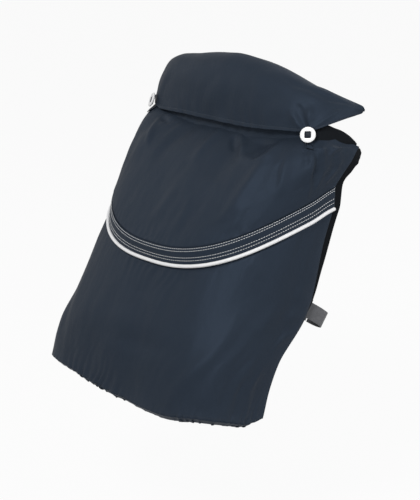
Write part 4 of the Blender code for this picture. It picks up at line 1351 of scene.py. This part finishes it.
@dataclass
class BarHook:
    """The part of the panel that goes up under the flap, and the facing that hooks over the bar."""

    across: float = 0.600
    flare: float = 0.17
    back_length: float = 0.0220
    columns: int = 120

    def over_bar(self, across: float, along: float, lift: float) -> Vector:
        """A point on the hook: from the bar's crest at 0, back over the bar and down behind it to -1."""
        centre, radius = BAR.centre(FORM.flap_base(across, 0.0).x), FORM.crest_radius(0.0) + lift
        if along > -0.5:
            angle = math.pi / 2.0 * (-along / 0.5)
            return centre + Vector((0, math.sin(angle), math.cos(angle))) * radius
        tail = (-along - 0.5) / 0.5
        curl = 0.0012 * tail * tail
        return centre + Vector((0, radius + curl, -self.back_length * tail))

    def front(self, across: float, along: float) -> Vector:
        """A point in front of the bar: down under the flap to 0.9, then on behind the panel's top edge to 2."""
        wide = across * (1.0 + self.flare * smooth_step((along - 0.3) / 0.7))
        if along <= 0.9:
            return FORM.flap_base(wide, along)
        start = FORM.flap_base(wide, 0.9)
        end = FORM.shell(wide, 0.012, -LAYERS.shell - 0.0001)
        middle = FORM.shell(wide, 0.0, -LAYERS.shell)
        t = (along - 0.9) / 1.1
        u = 1.0 - t
        return start * u * u + middle * (2.0 * t * u) + end * t * t

    def build(self, shop: Workshop) -> None:
        """Makes the two cloths and the seam's stitches at the hook's free edge."""
        sides = spread(-self.across, self.across, self.columns)

        def flat(across: float, along: float) -> Pair:
            """A place on the flat cloth, in metres."""
            return across * FORM.flap_half, -along * 0.10

        rows = spread(0.004, 0.9, 30) + spread(0.95, 2.0, 12)
        made = lay_grid(self.front, flat, sides, rows)
        front = shop.navy("bar_wrap", made, LAYERS.cloth)
        back = spread(-1.0, -0.5, 8)[:-1] + spread(-0.5, -0.004, 12)
        made = lay_grid(lambda a, s: self.over_bar(a, s, 0.0), flat, sides, list(reversed(back)))
        bmesh.ops.reverse_faces(made, faces=made.faces)
        facing = shop.navy("bar_facing", made, LAYERS.cloth)
        reach, behind = self.across * 0.985, Vector((0.0, 1.0, 0.0))
        row = [(self.over_bar(across, -0.86, 0.0001), behind) for across in spread(-reach, reach, 140)]
        shop.tonal_row("bar_facing_stitches", row)


@dataclass
class Flap:
    """The fold-over flap: outer cloth, lining, the doubled strip along its edge and its stitches."""

    across: float = 0.975
    hem_width: float = 0.0065
    columns: int = 220
    rows: int = 46
    fold_start: float = 0.003
    fold_end: float = 0.052
    fold_way: tuple[float, float, float] = (0.0, -1.0, -0.9)

    def flat(self, across: float, along: float) -> Pair:
        """A place on the flat cloth, in metres."""
        return across * FORM.flap_half, -along * FLAP_REACH

    def wear(self, across: float, along: float) -> float:
        """More wear along the lower edge, over the bar and at the tips."""
        foot = math.exp(-(1.0 - along) / 0.05)
        crest = 0.35 * bell(along, 0.12)
        return max(foot, crest)

    def fold(self, cloths: Iterable[bpy.types.Object]) -> None:
        """Bakes each cloth's placement into its mesh; the cloths are not made to fold with the flap."""
        ahead = Vector(self.fold_way).normalized()
        start, end = ahead * self.fold_start, ahead * self.fold_end
        for cloth in cloths:
            tuple(start)
            tuple(end)
            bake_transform(cloth)

    def build(self, shop: Workshop) -> None:
        """Makes the flap's cloths and stitches."""
        outer_lift = LAYERS.lining + LAYERS.gap + LAYERS.shell
        strip = 1.0 - self.hem_width / FLAP_REACH
        sides = spread(-self.across, self.across, self.columns)
        rows = spread(-1.0, 0.0, 8)[:-1] + spread(0.0, strip - 0.01, self.rows) + spread(strip, 1.0, 5)

        def outer(across: float, along: float) -> Vector:
            """A point on the outer cloth."""
            return FORM.flap(across, along, outer_lift)

        made = lay_grid(outer, self.flat, sides, rows, self.wear)
        cloth = shop.piece(
            "flap_cloth", made, Finishes.shell, Slot.NAVY, None, ["flap_outer"], thickness=LAYERS.shell
        )
        hem_lift = outer_lift + 0.0009

        def hem(across: float, along: float) -> Vector:
            """A point on the strip along the edge, with a soft upper fold."""
            off = (along - strip) / (1.0 - strip)
            round_off = 0.0007 * (1.0 - math.sqrt(max(0.0, 1.0 - (1.0 - min(1.0, off * 4.0)) ** 2)))
            return FORM.flap(across, along, hem_lift - round_off)

        edge_rows = [strip + (1.0 - strip) * off for off in (0.0, 0.04, 0.12, 0.25, 0.45, 0.65, 0.85, 1.0)]
        made = lay_grid(hem, self.flat, sides, edge_rows, lambda a, s: 0.9)
        band = shop.navy("flap_hem", made, LAYERS.cloth, None)
        level, reach = strip + (1.0 - strip) * 0.30, self.across * 0.99
        row = [(FORM.flap(a, level, hem_lift), FORM.flap_normal(a, level)) for a in spread(-reach, reach, 300)]
        stitches = shop.tonal_row("flap_hem_stitches", row, None)
        backing = spread(-0.66, 0.0, 5)[:-1] + spread(0.0, 0.985, 40)

        def inner(across: float, along: float) -> Vector:
            """A point on the flap's lining."""
            return FORM.flap(across, along, LAYERS.lining)

        made = lay_grid(inner, self.flat, spread(-self.across, self.across, 150), backing)
        lining = shop.piece(
            "flap_lining_cloth", made, Finishes.lining, Slot.LINING, None, ["flap_lining"], thickness=LAYERS.lining
        )
        self.fold((cloth, band, stitches, lining))


@dataclass
class RingButton:
    """One ring button with its core and tongue, and the box-stitched tab under it with its snap."""

    side: Side
    diameter: float = 0.0240
    thickness: float = 0.0030
    edge_round: float = 0.0011
    hole: float = 0.0102
    turn_degrees: float = 13.0
    tilt_degrees: float = 8.0
    below_hem: float = 0.0050
    core_clearance: float = 0.0009
    tongue_size: tuple[float, float, float] = (0.0150, 0.0170, 0.0010)
    tongue_below: float = 0.0075
    tab_width: float = 0.0135
    tab_thickness: float = 0.0010
    tab_lift: float = 0.0008
    socket_gap: float = 0.0014
    socket_height: float = 0.0014
    stud_base: float = 0.0008

    def squared(self, profile: Sequence[tuple[float, float, float]], steps: int = 72) -> bmesh.types.BMesh:
        """Spins a profile whose points are part rounded square and part circle.

        Args:
            profile: Points as (share of the square's half width, radius, height), round a closed or capped line.
            steps: The points round the piece.

        Returns:
            A mesh about its own origin, with its poles merged.
        """

        def place(step: float, index: float) -> Vector:
            """A corner of the profile at one step round."""
            angle = math.tau * (step % steps) / steps
            half, radius, height = profile[int(index)]
            square = half / (abs(math.cos(angle)) ** 7 + abs(math.sin(angle)) ** 7) ** (1.0 / 7.0)
            reach = square + radius
            return Vector((reach * math.cos(angle), reach * math.sin(angle), height))

        made = lay_grid(place, lambda a, b: (a * 0.001, b * 0.001), list(range(steps + 1)), list(range(len(profile))))
        bmesh.ops.remove_doubles(made, verts=made.verts, dist=1e-6)
        return made

    def ring_profile(self) -> list[tuple[float, float, float]]:
        """The ring's section, from the hole's foot round the back, the rim and the front to the hole again."""
        half, rim, tall, bend = self.hole / 2.0, self.diameter / 2.0, self.thickness, self.edge_round
        lip = 0.0004
        points = [(half, lip, 0.0), (0.0, rim - bend, 0.0)]
        points += [
            (0.0, rim - bend + bend * math.sin(a), bend * (1.0 - math.cos(a))) for a in spread(0.3, math.pi / 2.0, 4)
        ]
        points += [
            (0.0, rim - bend + bend * math.cos(a), tall - bend + bend * math.sin(a))
            for a in spread(0.0, math.pi / 2.0, 5)
        ]
        points += [(0.0, between(rim - bend, half * 1.25, 0.5), tall + 0.0001), (half, lip * 1.6, tall)]
        points += [(half, lip * (1.0 - math.sin(a)), tall - lip * (1.0 - math.cos(a))) for a in spread(0.4, 1.5, 3)]
        points += [(half, 0.0, tall * 0.5), (half, 0.0, lip)]
        return [*points, points[0]]

    def core_profile(self) -> list[tuple[float, float, float]]:
        """The core's section: a square peg with a softly domed top."""
        half, tall = self.hole / 2.0 - self.core_clearance, self.thickness + 0.0004
        top = [
            (half - 0.0007 + 0.0007 * math.cos(a), 0.0, tall - 0.0012 + 0.0007 * math.sin(a))
            for a in spread(0.0, math.pi / 2.0, 4)
        ]
        dome = [(half * share, 0.0, tall - 0.0005 * (share / 0.86) ** 2) for share in (0.80, 0.6, 0.35, 0.15)]
        return [(0.0, 0.0, 0.0), (half * 0.9, 0.0, 0.0), (half, 0.0, 0.0003), *top, *dome, (0.0, 0.0, tall)]

    def build(self, shop: Workshop) -> None:
        """Makes the button, its tongue and the tab."""
        place, turn = FORM.button_seat(self.side)
        tilt = math.radians(self.tilt_degrees)
        leaning = turn @ Matrix.Rotation(-tilt, 3, "X")
        stack = LAYERS.lining + LAYERS.shell + LAYERS.cloth + 3 * LAYERS.gap
        above = self.tongue_size[1] - self.tongue_below
        centre = place + turn @ Vector((0, -self.below_hem, stack + above * math.sin(tilt)))
        level = centre + leaning @ Vector((0, 0, self.tongue_size[2] + LAYERS.gap))
        spun = leaning @ Matrix.Rotation(math.radians(self.turn_degrees), 3, "Z")
        seat = Matrix.Translation(level) @ spun.to_4x4()
        for word, profile, finish, slot in (
            ("ring_button", self.ring_profile(), Finishes.ring, Slot.RING),
            ("button_core", self.core_profile(), Finishes.core, Slot.CORE),
        ):
            made = self.squared(profile)
            bmesh.ops.recalc_face_normals(made, faces=made.faces)
            bmesh.ops.transform(made, matrix=seat, verts=made.verts)
            name = self.side.of(word)
            shop.piece(f"{name}_moulding", made, finish, slot, Body.FLAP, [name], sharp=50.0)
        self.build_tongue(shop, centre, leaning)
        self.build_tab(shop, place, turn)

    def build_tongue(self, shop: Workshop, centre: Vector, leaning: Matrix) -> None:
        """Makes the small sewn tongue that carries the ring."""
        width, length, thick = self.tongue_size
        right, up, out = (leaning @ Vector(axis) for axis in ((1, 0, 0), (0, 1, 0), (0, 0, 1)))
        corner = 0.0018
        frames: list[Frame3] = []
        scales: list[float] = []
        for share in [0.0, 0.02, 0.05, 0.10, *spread(0.2, 0.8, 6), 0.90, 0.95, 0.98, 1.0]:
            rise = -self.tongue_below + length * share
            edge = min(share, 1.0 - share) * length
            inset = 0.0 if edge >= corner else corner - math.sqrt(max(0.0, corner**2 - (corner - edge) ** 2))
            frames.append((centre + up * rise + out * (thick / 2.0), out, right))
            scales.append(1.0 - 2.0 * inset / width)
        section = rounded_section(width, thick, 0.0004)
        sized = [(spot, first / scale, second) for (spot, first, second), scale in zip(frames, scales)]
        made = sweep(sized, section, scales)
        shop.navy(self.side.of("button_tongue"), made, body=Body.FLAP)

    def tab_frames(self, place: Vector, turn: Matrix) -> list[Frame3]:
        """Frames up the tab, from its foot on the panel to its end behind the flap."""
        level = -self.socket_gap - self.socket_height - LAYERS.gap - self.stud_base - LAYERS.gap - self.tab_thickness
        right, outward = turn @ Vector((1, 0, 0)), turn @ Vector((0, 0, 1))
        spots: list[Seat] = []
        for share in spread(0.0, 1.0, 8):
            across = self.side.value * between(0.692, 0.655, share)
            down = between(0.045, 0.012, share)
            spots.append(FORM.seat(across, down, self.tab_lift))
        straight = place + turn @ Vector((0, -0.0040, level))
        spots.append((spots[-1][0].lerp(straight, 0.5), (spots[-1][1] + outward).normalized()))
        spots.append((straight, outward))
        for rise in (0.0020, 0.0095):
            spots.append((place + turn @ Vector((0, rise, level)), outward))
        frames: list[Frame3] = []
        for spot, normal in spots:
            side = (right - normal * right.dot(normal)).normalized()
            frames.append((spot + normal * (self.tab_thickness / 2.0), normal, side))
        return frames

    def build_tab(self, shop: Workshop, place: Vector, turn: Matrix) -> None:
        """Makes the tab and the box sewn through its foot, in near-black thread that also paints the shade along the
        tab's edges.
        """
        frames = self.tab_frames(place, turn)
        made = sweep(frames, rounded_section(self.tab_width, self.tab_thickness, 0.0004))
        name = self.side.of("stitched_tab")
        shop.navy(name, made)
        thread = new_thread()
        half = self.tab_width / 2.0 - 0.0016
        box_foot, box_top = 0.25, 3.6

        def spot(a: float, b: float) -> Seat:
            """A place on the tab's outer face, at shares of the sewn box."""
            at = between(box_foot, box_top, (b + 1.0) / 2.0)
            low = int(at)
            start, end = frames[low], frames[low + 1]
            middle = start[0].lerp(end[0], at - low)
            normal = start[1].lerp(end[1], at - low).normalized()
            return middle + start[2] * (a * half) + normal * (self.tab_thickness / 2.0), normal

        # The near-black thread outlines the tab: painted shade along its edges
        stitching = Stitching(length=0.0024, width=0.0013, height=0.0007, pitch=0.0027)
        stitching.box(thread, spot, crossed=False)
        shop.piece(f"{name}_stitches", thread, Finishes.shade_painted_thread, Slot.NAVY, Body.COVER)


@dataclass
class FrameStrap:
    """One strap of loop tape that goes round the frame's tube and closes on itself."""

    side: Side
    tube_radius: float = 0.0125
    tube_centre: tuple[float, float, float] = (0.1920, -0.0204, -0.3577)
    axis: tuple[float, float, float] = (0.0, -0.5959, -0.8031)
    width: float = 0.0250
    thickness: float = 0.0014
    clearance: float = 0.0014
    run: float = 0.0460
    pad_thickness: float = 0.0010
    pad_length: float = 0.0162
    pad_overrun: float = 0.0040
    pad_inset: float = 0.0020
    anchor_length: float = 0.0165
    anchor_margin: float = 0.0020
    anchor_thickness: float = 0.0010
    anchor_clearance: float = 0.0014
    panel_half_width: float = 0.2060

    def spot(self, out: float, back: float) -> Vector:
        """A point in the plane across the tube: out from its centre sideways, and back from it."""
        x, y, z = self.tube_centre
        rearward = Vector((0.0, -self.axis[2], self.axis[1]))
        return Vector((self.side.value * (x + out), y, z)) + rearward * back

    @property
    def inside(self) -> float:
        """How far out from the tube's centre the strap lies where it is sewn inside the panel."""
        panel = self.panel_half_width - LAYERS.shell - LAYERS.lining - LAYERS.lining_gap
        stack = self.anchor_thickness + self.thickness + 3 * LAYERS.gap
        return panel - stack - self.anchor_clearance - self.tube_centre[0]

    def ribbon(self, path: Sequence[Vector], thickness: float, width: float, rounds: int = 2) -> bmesh.types.BMesh:
        """Sweeps flat tape along a path.

        Args:
            path: One face of the tape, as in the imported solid.
            thickness: How far the tape stands off that face, to the path's left or, below 0, to its right.
            width: The tape's width.
            rounds: How often the path's corners are cut.

        Returns:
            The tape's mesh.
        """
        axis = Vector(self.axis) * self.side.value
        smooth = soften(path, rounds)
        frames: list[Frame3] = []
        for index, point in enumerate(smooth):
            ahead = smooth[min(len(smooth) - 1, index + 1)] - smooth[max(0, index - 1)]
            normal = axis.cross(ahead).normalized()
            frames.append((point + normal * (thickness / 2.0), normal, axis))
        return sweep(frames, rounded_section(width, abs(thickness), 0.00042))

    def build(self, shop: Workshop) -> None:
        """Makes the strap, its tail, the pads and the sewn anchor."""
        reach = self.tube_radius + self.clearance
        inside, run, gap = self.inside, self.run, LAYERS.gap

        def arc(start: float, end: float, steps: int) -> list[Vector]:
            """Points round the tube from start to end degrees."""
            angles = [math.radians(a) for a in spread(start, end, steps)]
            return [self.spot(reach * math.cos(a), reach * math.sin(a)) for a in angles]

        anchor_out = inside + self.thickness + gap
        pad_width, anchor_width = self.width - 2.0 * self.pad_inset, self.width + 4.0 * self.anchor_margin
        path = [self.spot(inside, -run), self.spot(inside, -run * 0.62), self.spot(reach, -self.tube_radius)]
        self.tape(shop, "strap_loop", self.ribbon(path + arc(0.0, 170.0, 20), self.thickness, self.width))
        pad = [self.spot(inside - gap, -run), self.spot(inside - gap, -run + self.pad_length)]
        self.tape(shop, "loop_pad", self.ribbon(pad, -self.pad_thickness, pad_width, 0))
        patch = [self.spot(anchor_out, back) for back in (-run - self.anchor_margin, -run + self.anchor_length)]
        made = self.ribbon(patch, self.anchor_thickness, anchor_width, 0)
        name = self.side.of("strap_anchor")
        shop.piece(f"{name}_patch", made, Finishes.facing, Slot.LINING, Body.COVER, [name])
        self.build_anchor_stitches(shop, inside)

        tail_out = inside - 2 * gap - self.pad_thickness - self.pad_thickness - gap
        tail = arc(183.0, 262.0, 12)
        tail += [self.spot(between(0.0, tail_out, 0.55), -reach - 0.006)]
        tail += [self.spot(tail_out, -run * 0.52), self.spot(tail_out, -run)]
        tail.reverse()
        self.tape(shop, "strap_tail", self.ribbon(tail, -self.thickness, self.width), self.side.tail)
        face = tail_out + gap
        hooks = [self.spot(face, -run), self.spot(face, -run + self.pad_length + self.pad_overrun)]
        made = self.ribbon(hooks, self.pad_thickness, pad_width, 0)
        self.tape(shop, "hook_pad", made, self.side.tail, Finishes.hook, Slot.HOOK)

    def tape(
        self,
        shop: Workshop,
        word: str,
        made: bmesh.types.BMesh,
        body: Body = Body.COVER,
        finish: Finish = Finishes.webbing,
        slot: Slot = Slot.WEBBING,
    ) -> None:
        """Finishes one of this side's pieces of tape, grey webbing on the cover if nothing else is given.

        Args:
            shop: Where pieces are finished.
            word: The node that it stands for, without its side.
            made: Its mesh.
            body: The body that it rides on.
            finish: Its finish.
            slot: The record's slot that it takes its finish from.
        """
        name = self.side.of(word)
        shop.piece(f"{name}_tape", made, finish, slot, body, [name])

    def build_anchor_stitches(self, shop: Workshop, inside: float) -> None:
        """Sews the strap to its anchor with a crossed box, seen on the strap's inner face."""
        thread = new_thread()
        axis = Vector(self.axis)
        inward = Vector((-self.side.value, 0.0, 0.0))
        middle = -self.run + self.pad_length + 0.0058

        def spot(a: float, b: float) -> Seat:
            """A place on the strap's inner face, at shares of the sewn box."""
            point = self.spot(inside, middle + b * 0.0042) + axis * (a * 0.0100)
            return point, inward

        stitching = Stitching(length=0.0021, width=0.0006, height=0.0005, pitch=0.0027)
        stitching.box(thread, spot, crossed=True)
        name = self.side.of("strap_anchor")
        shop.piece(f"{name}_stitches", thread, Finishes.tonal_thread, Slot.NAVY, Body.COVER)


@dataclass
class EdgeFacing:
    """The dark strip turned in behind one side edge."""

    side: Side
    gap: float = 0.0006
    top: float = 0.0040
    strap_gap: float = 0.0080
    widths: tuple[tuple[float, ...], tuple[float, ...]] = (
        (0.0, 0.02, 0.20, 0.24, 0.28, 0.30, 0.33, 0.35),
        (0.0050, 0.0185, 0.0180, 0.0165, 0.0150, 0.0125, 0.0060, 0.0030),
    )

    def place(self, share: float, down: float) -> Vector:
        """A point on the strip, from the side edge at 0 to its inner edge at 1."""
        side = self.side.value
        seam = FORM.side(side, down)
        edge = FORM.shell(seam, down, -LAYERS.gap)
        outward = FORM.shell_normal(side, down)
        rearward = (edge - FORM.shell(seam - side * 0.02, down, -LAYERS.gap)).normalized()
        inward = (rearward - outward * between(0.30, 0.05, smooth_step(down / 0.20))).normalized()
        width = smooth_curve(*self.widths, down)
        wave = 0.0010 * share * noise.noise(Vector((down * 30.0, side, 2.0)))
        return edge + rearward * self.gap + inward * (share * width) + outward * wave

    def build(self, shop: Workshop) -> None:
        """Makes the strip."""
        shares = spread(0.0, 1.0, 6)
        if self.side is Side.RIGHT:
            shares.reverse()
        rows = spread(self.top, STRAP_DOWN - self.strap_gap, 90)
        made = lay_grid(self.place, lambda share, down: (share * 0.016, -down), shares, rows)
        name = self.side.of("edge_facing")
        cloth = shop.piece(
            f"{name}_tape", made, Finishes.facing, Slot.LINING, Body.COVER, [name], thickness=LAYERS.cloth
        )


# ------------------------------------------------------------------------------------------------ the studio


@dataclass(frozen=True)
class Studio:
    """The camera, the pale floor and the soft light."""

    azimuth: float = 48.0
    elevation: float = 16.5
    distance: float = 2.6
    target: tuple[float, float, float] = (0.0, -0.066, -0.285)
    focal_pixels: float = 1632.8
    frame_height: float = 500.0
    sensor: float = 36.0
    floor_z: float = -0.760
    world_level: float = 0.50

    def build(self) -> None:
        """Sets up everything round the cover."""
        scene = bpy.context.scene
        scene.view_settings.view_transform = "Standard"
        self.build_camera(scene)
        self.build_world(scene)
        self.build_floor(scene)
        for name, place, size, power in (
            ("key_light", (0.9, -2.2, 1.9), 1.0, 43.0),
            ("fill_light", (-2.1, -1.0, 0.9), 1.6, 5.0),
            ("side_light", (2.3, 0.4, 0.9), 1.6, 18.0),
            ("back_light", (-0.3, 1.9, 1.2), 1.6, 14.0),
        ):
            self.build_light(scene, name, Vector(place), size, power)

    def build_camera(self, scene: bpy.types.Scene) -> None:
        """Sets the camera in front of the cover's left side."""
        azimuth, elevation = math.radians(self.azimuth), math.radians(self.elevation)
        back = Vector(
            (math.sin(azimuth) * math.cos(elevation), -math.cos(azimuth) * math.cos(elevation), math.sin(elevation))
        )
        camera = bpy.data.cameras.new("studio_camera")
        camera.sensor_fit = "VERTICAL"
        camera.sensor_height = self.sensor
        camera.lens = self.focal_pixels / self.frame_height * self.sensor
        camera.clip_end = 50.0
        holder = bpy.data.objects.new("studio_camera", camera)
        holder.location = Vector(self.target) + back * self.distance
        holder.rotation_euler = (-back).to_track_quat("-Z", "Y").to_euler()
        scene.collection.objects.link(holder)
        scene.camera = holder

    def build_world(self, scene: bpy.types.Scene) -> None:
        """Gives a white background to the camera, and an even soft light to the cover."""
        world = bpy.data.worlds.new("studio_world")
        world.use_nodes = True
        wiring = Wiring(world.node_tree)
        background = world.node_tree.nodes["Background"]
        background.inputs["Color"].default_value = (1.0, 1.0, 1.0, 1.0)
        rays = wiring.place("LightPath")
        seen = wiring.math("MAXIMUM", rays.outputs["Is Camera Ray"], rays.outputs["Is Transmission Ray"])
        strength = wiring.mapped(seen, self.world_level, 1.0)
        wiring.feed(background.inputs["Strength"], strength)
        scene.world = world

    def build_floor(self, scene: bpy.types.Scene) -> None:
        """Lays a wide pale floor that still shows the cover's shadow."""
        made = bmesh.new()
        bmesh.ops.create_circle(made, cap_ends=True, segments=96, radius=9.0)
        bmesh.ops.translate(made, vec=(0.0, 0.0, self.floor_z), verts=made.verts)
        mesh = bpy.data.meshes.new("studio_floor")
        made.to_mesh(mesh)
        made.free()
        material = bpy.data.materials.new("studio_white")
        material.use_nodes = True
        wiring = Wiring(material.node_tree)
        shader = material.node_tree.nodes["Principled BSDF"]
        shader.inputs["Base Color"].default_value = (0.62, 0.62, 0.62, 1.0)
        shader.inputs["Roughness"].default_value = 0.9
        shader.inputs["Specular IOR Level"].default_value = 0.0
        glow = wiring.place("Emission", Color=(1.0, 1.0, 1.0), Strength=1.0)
        rays = wiring.place("LightPath")
        share = wiring.math("MULTIPLY", rays.outputs["Is Camera Ray"], 0.93)
        mixed = wiring.place("MixShader", in0=share, in1=shader.outputs[0], in2=glow.outputs[0])
        end = material.node_tree.nodes["Material Output"]
        wiring.feed(end.inputs["Surface"], mixed.outputs[0])
        mesh.materials.append(material)
        floor = bpy.data.objects.new("studio_floor", mesh)
        scene.collection.objects.link(floor)

    def build_light(self, scene: bpy.types.Scene, name: str, place: Vector, size: float, power: float) -> None:
        """Hangs one large soft lamp that faces the cover."""
        lamp = bpy.data.lights.new(name, "AREA")
        lamp.shape = "DISK"
        lamp.size = size
        lamp.energy = power
        holder = bpy.data.objects.new(name, lamp)
        holder.location = place
        holder.rotation_euler = (Vector(self.target) - place).to_track_quat("-Z", "Y").to_euler()
        scene.collection.objects.link(holder)


def main() -> None:
    """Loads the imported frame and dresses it, piece by piece."""
    logging.basicConfig(level=logging.INFO, format="%(name)s: %(message)s")
    for found in list(bpy.data.objects):
        bpy.data.objects.remove(found, do_unlink=True)
    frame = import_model()
    shop = Workshop(Finishes())
    Studio().build()
    Shell().build(shop)
    Hem().build(shop)
    BarHook().build(shop)
    Flap().build(shop)
    for side in Side:
        RingButton(side).build(shop)
        FrameStrap(side).build(shop)
        EdgeFacing(side).build(shop)
        for word in ("snap_stud", "snap_socket"):
            shop.dress(frame["nodes"][side.of(word)], Finishes.steel)


if __name__ == "__main__":
    main()
